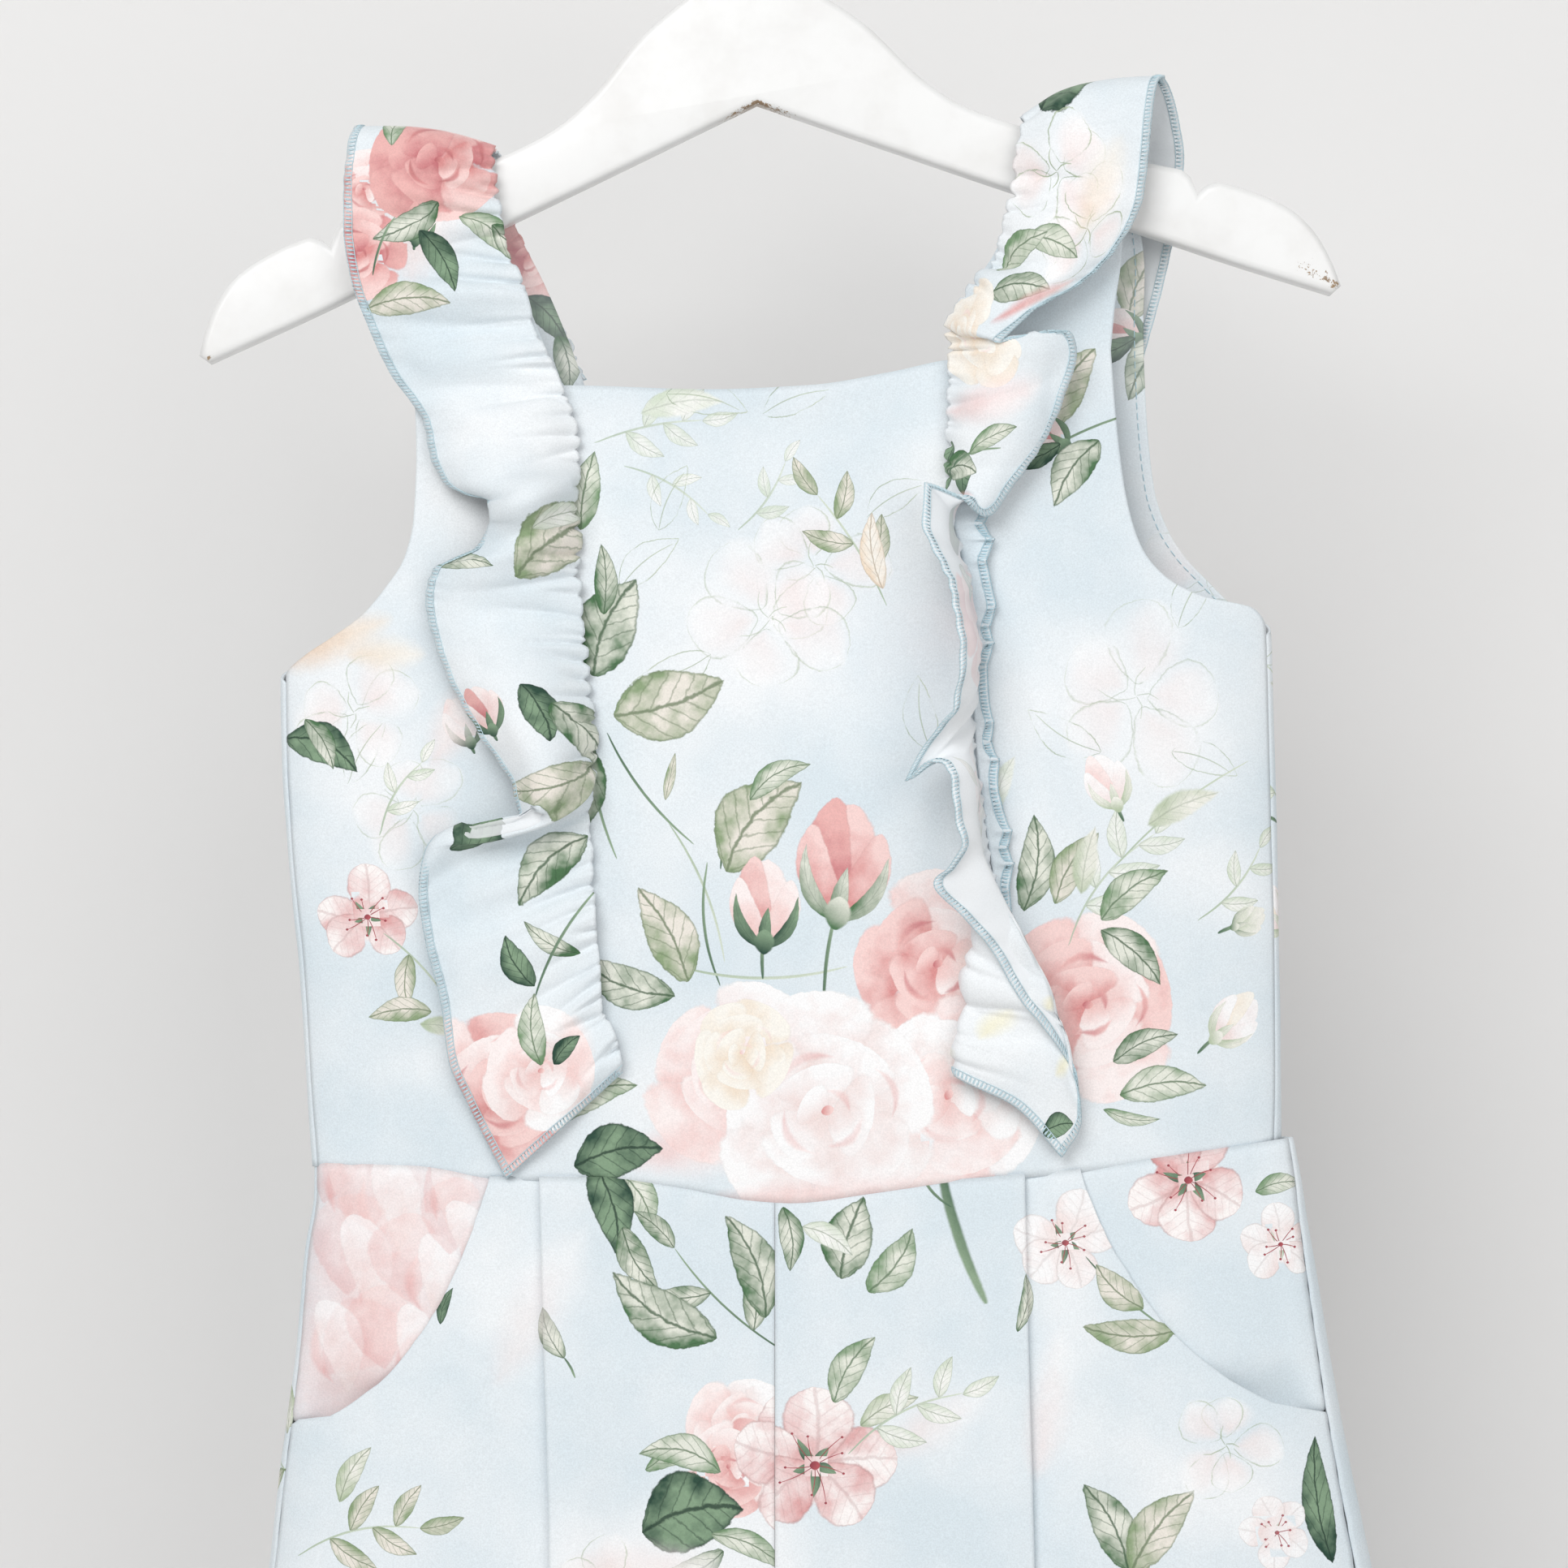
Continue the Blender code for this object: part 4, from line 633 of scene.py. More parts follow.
def ruffleGrid(spec):
    rows = spec["rows"]
    mean = asPoints((rows["rootX"] + rows["edgeX"]) / 2, (rows["rootZ"] + rows["edgeZ"]) / 2,
                    rows["turn"] / 9)
    root = asPoints(rows["rootX"], rows["rootZ"], rows["turn"] / 9)
    stride = (np.linalg.norm(np.diff(mean, axis=0), axis=1)
              + np.linalg.norm(np.diff(root, axis=0), axis=1))
    walked = np.concatenate([[0], np.cumsum(stride)])  # front to back
    stops = np.linspace(0, walked[-1], spec["steps"] + 1)
    at = {name: curve(walked, values)(stops) for name, values in rows.items()}
    rootLift = cloth["seamGap"] + 0.5 + spec["gatherDepth"]
    sewn = offCloth(at["rootX"], at["rootZ"], at["turn"], rootLift)
    free = offCloth(at["edgeX"], at["edgeZ"], at["turn"], at["lift"])
    outward = asPoints(np.zeros(len(stops)), -np.cos(np.radians(at["turn"])),
                       np.sin(np.radians(at["turn"])))
    chord = np.linalg.norm(free - sewn, axis=1)
    across = crowded(spec["across"], start=True)
    if "foldX" in rows:
        stopsAcross = [sewn, offCloth(at["foldX"], at["foldZ"], at["turn"], at["foldLift"]),
                       offCloth(at["backX"], at["backZ"], at["turn"], at["backLift"]), free]
        columns = [bezierThrough(stopsAcross, w) for w in across]
    else:
        bulge = np.minimum(np.sqrt(3 * chord * np.maximum(spec["width"] - chord, 0) / 8), 12.0)
        bulge = bulge * (1 - 0.75 * np.sin(np.radians(at["turn"])))
        columns = [sewn + (free - sewn) * w + outward * (bulge * math.sin(math.pi * w))[:, None]
                   for w in across]
    grid = np.stack(columns, axis=1)
    grid[..., 1] += (softened(grid[..., 1]) - grid[..., 1]) * (1 - ease(at["turn"] / 8))[:, None]
    return grid, across, distances(sewn), at


# gathers: narrow creases, each with its own place, width, depth, reach and lean, part soft puffs
def gatherRelief(spec, across, rootWalk, at):
    dice = random.Random(spec["seed"])
    u = rootWalk[:, None]
    w = across[None, :]
    valley = np.zeros((len(rootWalk), len(across)))
    for place in np.linspace(0, rootWalk[-1], spec["gathers"]):
        place += dice.uniform(-2.2, 2.2)
        width = dice.uniform(0.6, 1.5)
        deep = dice.uniform(0.45, 1.0)
        reach = dice.choice((0.12, 0.25, 0.4, 0.6, 0.9)) * dice.uniform(0.8, 1.2)
        lean = dice.uniform(-16, 16)
        gap = np.abs(u - place - lean * w) / (width * (1 + 2.4 * w))
        valley = np.maximum(valley, deep * np.exp(-gap ** 1.3) * np.exp(-(w / reach) ** 2))
    puff = spec["puff"] * (1 + 0.3 * np.sin(u * 0.16 + 2 * np.sin(u * 0.05)))
    relief = puff * (1 - valley) * np.exp(-(w / 0.8) ** 2) - 0.3
    for rootZ, edgeZ, width, height, start, end in spec["folds"]:
        rise = at["rootZ"][:, None] - (rootZ + (edgeZ - rootZ) * w)
        gap = rise / (width * (1 + 0.8 * w))
        along = ease((w - start) / 0.2 + 0.5) * ease((end - w) / 0.2 + 0.5)
        relief += height * np.exp(-gap * gap) * along * (at["turn"][:, None] < 20)
    pucker = np.sin(u * 2.45 + 1.3 * np.sin(u * 0.31)) * (0.6 + 0.4 * np.sin(u * 0.83))
    relief += 0.25 * pucker * np.exp(-w / 0.06)
    relief += 0.35 * np.sin(u * 1.05 + 2 * np.sin(u * 0.13)) * np.exp(-(1 - w) / 0.06)
    return np.maximum(relief, -1.0)


# at the seam the gathers' tops swell out past the sewn line
def puffedRoot(grid, across, relief):
    away = unit(grid[:, 0] - grid[:, 6])
    swell = np.clip(relief[:, 2], -0.6, 2.2)[:, None] * np.exp(-(across / 0.05) ** 2)[None, :] * 0.55
    return grid + away[:, None, :] * swell[..., None]


print("shapes ready")


# printed cloth: each mark is a leaf, petal, stem or dot with its own colours and drawing
layers = 7
ink = {
    "ground": "DBE6EC", "cloud": "F1F4F6", "wrongSide": "F0F2F4", "pencil": "454A40",
    "green": ("E4E6DA", "4F7650"), "dark": ("86A184", "294A3B"), "pale": ("F1F0E8", "B4C3A5"),
    "greige": ("ECE6DC", "8FA47E"), "sage": ("E6E8DC", "789872"), "mist": ("F6F6F2", "D3DECB"),
    "pink": ("F6D5D1", "DB9391"), "deep": ("EBB5B1", "C8757A"), "blush": ("FBF0EE", "F0C9C5"),
    "white": ("FBFAFA", "F1DFDC"), "petal": ("FCF6F4", "DDA09F"), "cream": ("FAF6EE", "EFDCC6"),
    "apricot": ("F4E3D0", "E4BE9B"),
    "stem": ("8FA68A", "4B6B54"), "paleStem": ("D3DCCB", "AEBFA8"), "stamen": ("B4575E", "8C3B46"),
    "stroke": ("D98F8E", "B9666A"), "thinPencil": ("B5C1A6", "93A586"), "spot": ("F7F3DC", "EFE9C8"),
}


def linear(code):
    values = [int(code[k:k + 2], 16) / 255 for k in (0, 2, 4)]
    return [v / 12.92 if v < 0.04045 else ((v + 0.055) / 1.055) ** 2.4 for v in values]


# how full base and tip are (p, q), how soft the edge is, then how much outline, veins and mottling
# a form without mottling is a pencil outline with nothing inside
forms = {
    "leaf": (0.82, 0.85, 0.06, 0.85, 0.85, 1.5),
    "softLeaf": (0.82, 0.85, 0.30, 0.25, 0.4, 0.8),
    "petal": (1.45, 0.50, 0.13, 0.22, 0, 0.9),
    "cup": (0.9, 0.5, 0.12, 0.3, 0, 0.9),
    "linePetal": (1.35, 0.50, 0.10, 0.8, 0.3, 1),
    "softPetal": (1.35, 0.50, 0.75, 0, 0, 0.5),
    "contour": (1.35, 0.50, 0.03, 0, 0, 0),
    "leafContour": (0.82, 0.85, 0.03, 0, 0, 0),
    "stem": (1, 0.22, 0.5, 0, 0, 0.4),
    "stroke": (1, 0.6, 0.8, 0, 0, 0.5),
    "dot": (1, 0.5, 0.25, 0.2, 0, 0.4),
    "wash": (1, 0.5, 0.95, 0, 0, 0.6),
    "sepal": (0.75, 0.9, 0.12, 0.5, 0.3, 0.7),
}


class Print:
    def __init__(self):
        self.marks = []

    def mark(self, form, x, z, length, angle, wide, tone, bend=0.0, opacity=1.0):
        self.marks.append((form, x, z, length, angle, wide / 2, tone, bend, opacity))

    def leaf(self, x, z, length, angle, tone="green", bend=0.1, wide=0.4, form="leaf", opacity=1.0):
        self.mark(form, x, z, length, angle, length * wide, tone, bend, opacity)

    def stem(self, x, z, length, angle, wide=1.1, tone="stem", bend=0.06, opacity=1.0):
        self.mark("stem", x, z, length, angle, wide, tone, bend, opacity)

    # twig with leaves on both sides, each smaller than the last
    def sprig(self, x, z, length, angle, tone="green", count=5, size=0.4, bend=0.1, opacity=1.0):
        self.stem(x, z, length, angle, 0.9, "stem" if tone in ("green", "dark") else "paleStem",
                  bend, opacity)
        dx, dz = heading(angle)
        for k in range(count):
            along = 0.3 + 0.7 * k / max(count - 1, 1)
            off = bend * length * 4 * along * (1 - along)
            px = x + along * length * dx - off * dz
            pz = z + along * length * dz + off * dx
            lean = 0 if k == count - 1 else (44 if k % 2 else -44)
            self.leaf(px, pz, length * size * (1.1 - 0.3 * along), angle + lean, tone,
                      0.07 if k % 2 else -0.07, 0.4, opacity=opacity)

    # broad petals, dark at their root and pale at their rim, round a curled heart of a few strokes
    def rose(self, x, z, r, tone="pink", heart="deep", turn=0, opacity=1.0):
        light = {"pink": "blush", "deep": "pink", "blush": "white"}.get(tone, tone)
        self.mark("dot", x - 0.5 * r, z, r, 0, r, tone, 0, opacity)
        rings = [(5, 0.26, 0.76, 1.16), (4, 0.12, 0.62, 0.98), (3, 0.02, 0.46, 0.74), (2, 0.0, 0.28, 0.42)]
        for ring, (count, start, reach, wide) in enumerate(rings):
            for k in range(count):
                a = turn + 360 * k / count + 41 * ring + 11 * math.sin(5.1 * k + x)
                dx, dz = heading(a)
                size = r * reach * (1 + 0.14 * math.sin(3.7 * k + z))
                self.mark("petal", x + r * start * dx, z + r * start * dz,
                          size, a, r * wide * (1 + 0.12 * math.sin(2.9 * k + x)),
                          light if (k + ring) % 3 == 1 else tone, 0.1 * (-1) ** k, opacity)
        for k, (near, size, wide) in enumerate([(0.52, 0.5, 0.10), (0.40, 0.6, 0.13), (0.30, 0.5, 0.12),
                                                (0.22, 0.42, 0.12), (0.13, 0.3, 0.11)]):
            a = turn + 97 * k
            dx, dz = heading(a)
            self.mark("stroke", x + r * near * dx + r * size / 2 * dz,
                      z + r * near * dz - r * size / 2 * dx, r * size, a + 90,
                      r * wide, heart, -0.24, opacity * (0.8 if tone in ("pink", "deep") else 0.45))
        self.mark("dot", x - r * 0.06, z, r * 0.12, turn, r * 0.10, heart, 0, opacity)

    # a rosebud seen from the side, pointing along angle
    def bud(self, x, z, size, angle, tone="pink", heart="deep", green="dark", stem=0.0, opacity=1.0):
        dx, dz = heading(angle)
        if stem:
            self.stem(x - stem * dx, z - stem * dz, stem + size * 0.08, angle, 1.5, "stem", 0.04, opacity)
        self.mark("cup", x, z, size * 0.95, angle, size * 0.62, tone, 0, opacity)
        self.mark("cup", x + 0.1 * size * dx, z + 0.1 * size * dz, size * 0.9, angle + 9,
                  size * 0.42, heart, 0.1, opacity)
        self.mark("cup", x, z, size * 0.78, angle - 22, size * 0.36, tone, -0.12, opacity)
        self.mark("cup", x, z, size * 0.8, angle + 24, size * 0.34, tone, 0.12, opacity)
        for lean, bend in ((-30, -0.16), (28, 0.16), (-4, 0.03)):
            self.mark("sepal", x - 0.1 * size * dx, z - 0.1 * size * dz,
                      size * (0.75 if lean + 4 else 0.5), angle + lean, size * 0.16, green, bend, opacity)
        self.mark("dot", x - 0.17 * size * dx, z - 0.17 * size * dz, size * 0.3, angle,
                  size * 0.26, green, 0, opacity)

    # an open five-petalled blossom with its stamens drawn
    def blossom(self, x, z, r, turn=0, tone="blush", green="dark", opacity=1.0):
        tone = "petal" if tone == "blush" else tone
        self.mark("dot", x - 0.55 * r, z, 1.1 * r, 0, 1.1 * r, tone, 0, opacity)
        for k in range(5):
            a = turn + 72 * k + 12 * math.sin(4 * k + x)
            self.mark("linePetal", x, z, r * (1 + 0.1 * math.sin(7 * k + z)), a,
                      r * (0.86 + 0.1 * (k % 2)), tone, 0.05 * (-1) ** k, opacity)
        for k in range(5):
            a = turn + 36 + 72 * k
            self.mark("sepal", x, z, r * (0.42 if k % 2 else 0.3), a, r * 0.14, green, 0.05, opacity)
        for k in range(9):
            a = turn + 40 * k + 9 * (-1) ** k
            dx, dz = heading(a)
            reach = r * (0.5 if k % 2 else 0.38)
            self.mark("stem", x, z, reach, a, 0.36, "stamen", 0.05, opacity)
            self.mark("dot", x + reach * dx - 0.45, z + reach * dz, 0.9, 0, 0.85, "stamen", 0, opacity)
        self.mark("dot", x - r * 0.07, z, r * 0.14, 0, r * 0.13, "stamen", 0, opacity)

    # a white flower that hardly shows: soft petals inside broken pencil outlines
    def ghost(self, x, z, r, turn=0, opacity=0.8):
        for k in range(5):
            a = turn + 72 * k + 16 * math.sin(3 * k + x)
            dx, dz = heading(a)
            place = (x + r * 0.15 * dx, z + r * 0.15 * dz)
            size = r * (1 + 0.16 * math.sin(2.1 * k + z))
            self.mark("softPetal", *place, size, a, r * 1.1, "white", 0.1 * (-1) ** k, opacity)
            self.mark("contour", *place, size * 0.96, a + 6, r * 0.9, "thinPencil", 0.08, opacity)
        for k in range(4):
            a = turn + 90 * k + 20 * math.sin(x + k)
            self.mark("stem", x, z, r * (0.3 + 0.1 * (k % 3)), a, 0.5, "thinPencil", 0.2, opacity)

    # a leaf that is only drawn
    def sketchLeaf(self, x, z, length, angle, bend=0.08, wide=0.44, opacity=0.8):
        self.mark("leafContour", x, z, length, angle, length * wide, "thinPencil", bend, opacity)
        self.stem(x, z, length * 0.9, angle, 0.5, "thinPencil", bend, opacity * 0.8)

    def wash(self, x, z, length, angle, wide, tone, opacity=0.6):
        dx, dz = heading(angle)
        self.mark("wash", x - length / 2 * dx, z - length / 2 * dz, length, angle, wide, tone, 0, opacity)


# how wide a mark is along its length, from 0 to 1
def markWidth(s, p, q):
    return np.maximum(np.sin(math.pi * np.clip(s, 0, 1) ** p), 0) ** q


# what every layer stores: name, whose value it is, the node group's input and the attribute's output
stored = (("place", "CORNER", "Place", "Vector"), ("toneA", "FACE", "Tone A", "Color"),
          ("toneB", "FACE", "Tone B", "Color"), ("shape", "FACE", "Shape", "Vector"),
          ("drawing", "FACE", "Drawing", "Vector"))


# gives every face the marks that cross it, topmost last, in each mark's own measure
def layPrint(mesh, faces, pattern, marks):
    count = len(faces)
    corners = pattern[faces]
    centres = corners.mean(axis=1)
    place = np.zeros((layers, count, 4, 3))
    toneA = np.zeros((layers, count, 3))
    toneB = np.zeros((layers, count, 3))
    shape = np.ones((layers, count, 3))
    drawing = np.zeros((layers, count, 3))
    filled = np.zeros(count, int)
    for form, x, z, length, angle, half, tone, bend, opacity in marks:
        p, q, soft, line, veins, mottle = forms[form]
        cos, sin = heading(angle)
        middle = np.array((x + length / 2 * cos, z + length / 2 * sin))
        slack = 0.6 + 0.08 * half
        reach = math.hypot(length / 2, half + abs(bend) * length) + 3.0
        near = np.nonzero(((centres - middle) ** 2).sum(axis=1) < reach * reach)[0]
        if not len(near):
            continue
        dx = corners[near, :, 0] - x
        dz = corners[near, :, 1] - z
        s = (dx * cos + dz * sin) / length
        b = -dx * sin + dz * cos
        inside = np.clip(s, 0, 1)
        b = b - bend * length * 4 * inside * (1 - inside)
        wide = markWidth(s, p, q)
        broadest = half * (1 if length < 8 else wide.max(axis=1)) + slack
        touched = ((b.min(axis=1) < broadest) & (b.max(axis=1) > -broadest)
                   & (s.min(axis=1) < 1 + slack / length) & (s.max(axis=1) > -slack / length))
        whole = (np.abs(b) / half < wide - soft - 0.15).all(axis=1) & (opacity > 0.98) & (mottle > 0)
        near, s, b, whole = near[touched], s[touched], b[touched], whole[touched]
        filled[near[whole]] = 0
        spill = near[filled[near] == layers]
        for stack in (place, toneA, toneB, shape, drawing):
            stack[1:-1, spill] = stack[2:, spill]
        filled[spill] = layers - 1
        level = filled[near]
        place[level, near, :, 0] = s
        place[level, near, :, 1] = b / half
        place[level, near, :, 2] = opacity
        toneA[level, near] = linear(ink[tone][0])
        toneB[level, near] = linear(ink[tone][1])
        shape[level, near] = (p, q, soft)
        drawing[level, near] = (line, veins, mottle)
        filled[near] += 1
    for k in range(layers):
        unused = filled <= k
        place[k, unused, :, 2] = 0
        for (name, domain, _, _), stack in zip(stored, (place, toneA, toneB, shape, drawing)):
            kept = mesh.attributes.new(f"{name}{k}", "FLOAT_VECTOR", domain)
            kept.data.foreach_set("vector", stack[k].astype(np.float32).ravel())


# small helpers for shader nodes
def addNode(tree, kind, **settings):
    node = tree.nodes.new(kind)
    for name, value in settings.items():
        setattr(node, name, value)
    return node


def feed(tree, socket, value):
    if hasattr(value, "is_output"):
        tree.links.new(value, socket)
    else:
        socket.default_value = value


def calc(tree, operation, *values, clamp=False):
    node = addNode(tree, "ShaderNodeMath", operation=operation, use_clamp=clamp)
    for socket, value in zip(node.inputs, values):
        feed(tree, socket, value)
    return node.outputs[0]


def setSockets(node, **values):
    for name, value in values.items():
        node.inputs[name.replace("_", " ")].default_value = value


def smoothRange(tree, value, low, high):
    node = addNode(tree, "ShaderNodeMapRange", interpolation_type="SMOOTHSTEP")
    feed(tree, node.inputs["Value"], value)
    feed(tree, node.inputs["From Min"], low)
    feed(tree, node.inputs["From Max"], high)
    return node.outputs["Result"]


def colourSockets(node):
    a = [s for s in node.inputs if s.name == "A" and s.type == "RGBA"][0]
    b = [s for s in node.inputs if s.name == "B" and s.type == "RGBA"][0]
    f = [s for s in node.inputs if s.name == "Factor" and s.type == "VALUE"][0]
    out = [s for s in node.outputs if s.type == "RGBA"][0]
    return f, a, b, out


def mixColour(tree, factor, one, two, kind="MIX"):
    node = addNode(tree, "ShaderNodeMix", data_type="RGBA", blend_type=kind)
    f, a, b, out = colourSockets(node)
    feed(tree, f, factor)
    feed(tree, a, one)
    feed(tree, b, two)
    return out


def rgba(code):
    return (*linear(code), 1)


def addObject(name, data):
    made = bpy.data.objects.new(name, data)
    bpy.context.collection.objects.link(made)
    return made


# points are in mm
def smoothMesh(name, points, faces):
    mesh = bpy.data.meshes.new(name)
    mesh.from_pydata((points * mm).tolist(), [], faces)
    mesh.shade_smooth()
    return mesh


def addValues(mesh, name, domain, values):
    kept = mesh.attributes.new(name, "FLOAT", domain)
    kept.data.foreach_set("value", values.astype(np.float32))


# a material with its nodes, its shader and the object's own coordinates
def newMaterial(name):
    made = bpy.data.materials.new(name)
    made.use_nodes = True
    tree = made.node_tree
    where = addNode(tree, "ShaderNodeTexCoord").outputs["Object"]
    return made, tree, tree.nodes["Principled BSDF"], where


# paints one layer of marks over what lies under it
def markGroup():
    group = bpy.data.node_groups.new("paintMark", "ShaderNodeTree")
    for name, kind in (("Under", "Color"), ("Place", "Vector"), ("Tone A", "Color"),
                       ("Tone B", "Color"), ("Shape", "Vector"), ("Drawing", "Vector"),
                       ("Wobble", "Vector"), ("Bloom", "Float")):
        group.interface.new_socket(name, in_out="INPUT", socket_type="NodeSocket" + kind)
    group.interface.new_socket("Colour", in_out="OUTPUT", socket_type="NodeSocketColor")
    entry = group.nodes.new("NodeGroupInput")
    leave = group.nodes.new("NodeGroupOutput")
    split = []
    for name in ("Place", "Shape", "Drawing", "Wobble"):
        split.append(addNode(group, "ShaderNodeSeparateXYZ"))
        feed(group, split[-1].inputs[0], entry.outputs[name])
    place, shape, drawing, wobble = split

    def work(*parts, clamp=False):
        return calc(group, *parts, clamp=clamp)

    s = work("MULTIPLY_ADD", wobble.outputs[0], 0.06, place.outputs[0])
    t = work("MULTIPLY_ADD", wobble.outputs[1], 0.22, place.outputs[1])
    side = work("ABSOLUTE", t)
    inside = work("ADD", s, 0.0, clamp=True)
    wave = work("SINE", work("MULTIPLY", work("POWER", inside, shape.outputs[0]), math.pi))
    wide = work("POWER", work("MAXIMUM", wave, 0.0), shape.outputs[1])
    depth = work("SUBTRACT", wide, side)
    cover = work("MULTIPLY", smoothRange(group, depth, 0.0, shape.outputs[2]), place.outputs[2])
    hollow = work("LESS_THAN", drawing.outputs[2], 0.05)
    contour = work("SUBTRACT", 1.0, smoothRange(group, depth, 0.03, 0.11))
    contour = work("MULTIPLY", contour, smoothRange(group, entry.outputs["Bloom"], 0.36, 0.56))
    bare = work("MULTIPLY", hollow, work("SUBTRACT", 1.0, contour))
    cover = work("MULTIPLY", cover, work("SUBTRACT", 1.0, bare))
    # watercolour: pigment pools in places, at the root and along one side, and on a leaf at its rim
    pool = work("SUBTRACT", entry.outputs["Bloom"], 0.5)
    steep = work("MULTIPLY_ADD", drawing.outputs[1], -0.9, 1.2)
    tone = work("MULTIPLY_ADD", pool, work("MULTIPLY", drawing.outputs[2], 1.9),
                work("MULTIPLY_ADD", t, 0.24, 0.45))
    tone = work("MULTIPLY_ADD", work("SUBTRACT", 0.5, s), steep, tone)
    tone = work("MULTIPLY_ADD", work("SUBTRACT", 0.32, depth),
                work("MULTIPLY", drawing.outputs[1], 0.9), tone, clamp=True)
    colour = mixColour(group, tone, entry.outputs["Tone A"], entry.outputs["Tone B"])
    edge = work("SUBTRACT", 1.0, smoothRange(group, depth, 0.03, 0.14))
    pencil = work("MULTIPLY_ADD", wobble.outputs[2], 1.7, 0.85, clamp=True)
    edge = work("MULTIPLY", work("MULTIPLY", edge, drawing.outputs[0]), pencil)
    rib = work("SUBTRACT", 1.0, smoothRange(group, side, 0.02, 0.08))
    rise = work("MULTIPLY_ADD", side, -0.30, s)
    comb = work("PINGPONG", work("MULTIPLY", rise, 6.5), 0.5)
    vein = work("SUBTRACT", 1.0, smoothRange(group, comb, 0.02, 0.10))
    vein = work("MAXIMUM", rib, work("MULTIPLY", vein, 0.6))
    vein = work("MULTIPLY", vein, drawing.outputs[1])
    dark = work("MAXIMUM", edge, vein)
    darker = mixColour(group, 0.72, entry.outputs["Tone B"], rgba(ink["pencil"]), "MULTIPLY")
    line = mixColour(group, 0.6, entry.outputs["Tone B"], darker)
    colour = mixColour(group, dark, colour, line)
    feed(group, leave.inputs["Colour"], mixColour(group, cover, entry.outputs["Under"], colour))
    return group


def attribute(tree, name, output="Vector"):
    node = addNode(tree, "ShaderNodeAttribute", attribute_name=name)
    return node.outputs[output]


def noiseAt(tree, where, scale, detail=2.0, rough=0.5, output="Fac"):
    node = addNode(tree, "ShaderNodeTexNoise")
    feed(tree, node.inputs["Vector"], where)
    setSockets(node, Scale=scale, Detail=detail, Roughness=rough)
    return node.outputs[output]


# a bump with its height and depth in metres
def roughen(tree, shader, height, strength, distance):
    bump = addNode(tree, "ShaderNodeBump")
    setSockets(bump, Strength=strength, Distance=distance)
    feed(tree, bump.inputs["Height"], height)
    feed(tree, shader.inputs["Normal"], bump.outputs[0])


# the cloth's look; scale, detail and roughness of each noise
weave = {
    "shake": (330, 4, 0.62), "bloom": (120, 3, 0.55), "broad": (26, 3, 0.55),
    "grain": (1900, 2, 0.7), "mistFrom": 0.38, "mistGain": 1.9, "speck": (0.91, 1.05),
    "wrongSideFades": 0.68, "bump": (0.22, 0.0002), "roughness": 0.72, "specular": 0.35,
    "sheen": 0.18, "sheenRoughness": 0.4,
}


def crepe(group):
    made, tree, shader, where = newMaterial("printed_crepe_cloth")
    shake = addNode(tree, "ShaderNodeVectorMath", operation="SUBTRACT")
    feed(tree, shake.inputs[0], noiseAt(tree, where, *weave["shake"], output="Color"))
    shake.inputs[1].default_value = (0.5, 0.5, 0.5)
    bloom = noiseAt(tree, where, *weave["bloom"])
    broad = noiseAt(tree, where, *weave["broad"])
    mist = calc(tree, "MULTIPLY_ADD", calc(tree, "SUBTRACT", broad, weave["mistFrom"]),
                weave["mistGain"], attribute(tree, "cloud", "Fac"), clamp=True)
    colour = mixColour(tree, mist, rgba(ink["ground"]), rgba(ink["cloud"]))
    for k in range(layers):
        node = addNode(tree, "ShaderNodeGroup", node_tree=group)
        feed(tree, node.inputs["Under"], colour)
        for name, _, label, output in stored:
            feed(tree, node.inputs[label], attribute(tree, f"{name}{k}", output))
        feed(tree, node.inputs["Wobble"], shake.outputs[0])
        feed(tree, node.inputs["Bloom"], bloom)
        colour = node.outputs["Colour"]
    grain = noiseAt(tree, where, *weave["grain"])
    speck = addNode(tree, "ShaderNodeMapRange")
    feed(tree, speck.inputs["Value"], grain)
    setSockets(speck, From_Min=0.3, From_Max=0.7, To_Min=weave["speck"][0], To_Max=weave["speck"][1])
    grey = addNode(tree, "ShaderNodeCombineColor")
    for k in range(3):
        feed(tree, grey.inputs[k], speck.outputs[0])
    colour = mixColour(tree, 1.0, colour, grey.outputs[0], "MULTIPLY")
    faded = calc(tree, "MULTIPLY", attribute(tree, "wrongSide", "Fac"), weave["wrongSideFades"])
    colour = mixColour(tree, faded, colour, rgba(ink["wrongSide"]))
    feed(tree, shader.inputs["Base Color"], colour)
    roughen(tree, shader, grain, *weave["bump"])
    setSockets(shader, Roughness=weave["roughness"], Specular_IOR_Level=weave["specular"],
               Sheen_Weight=weave["sheen"], Sheen_Roughness=weave["sheenRoughness"])
    return made


crepeCloth = crepe(markGroup())


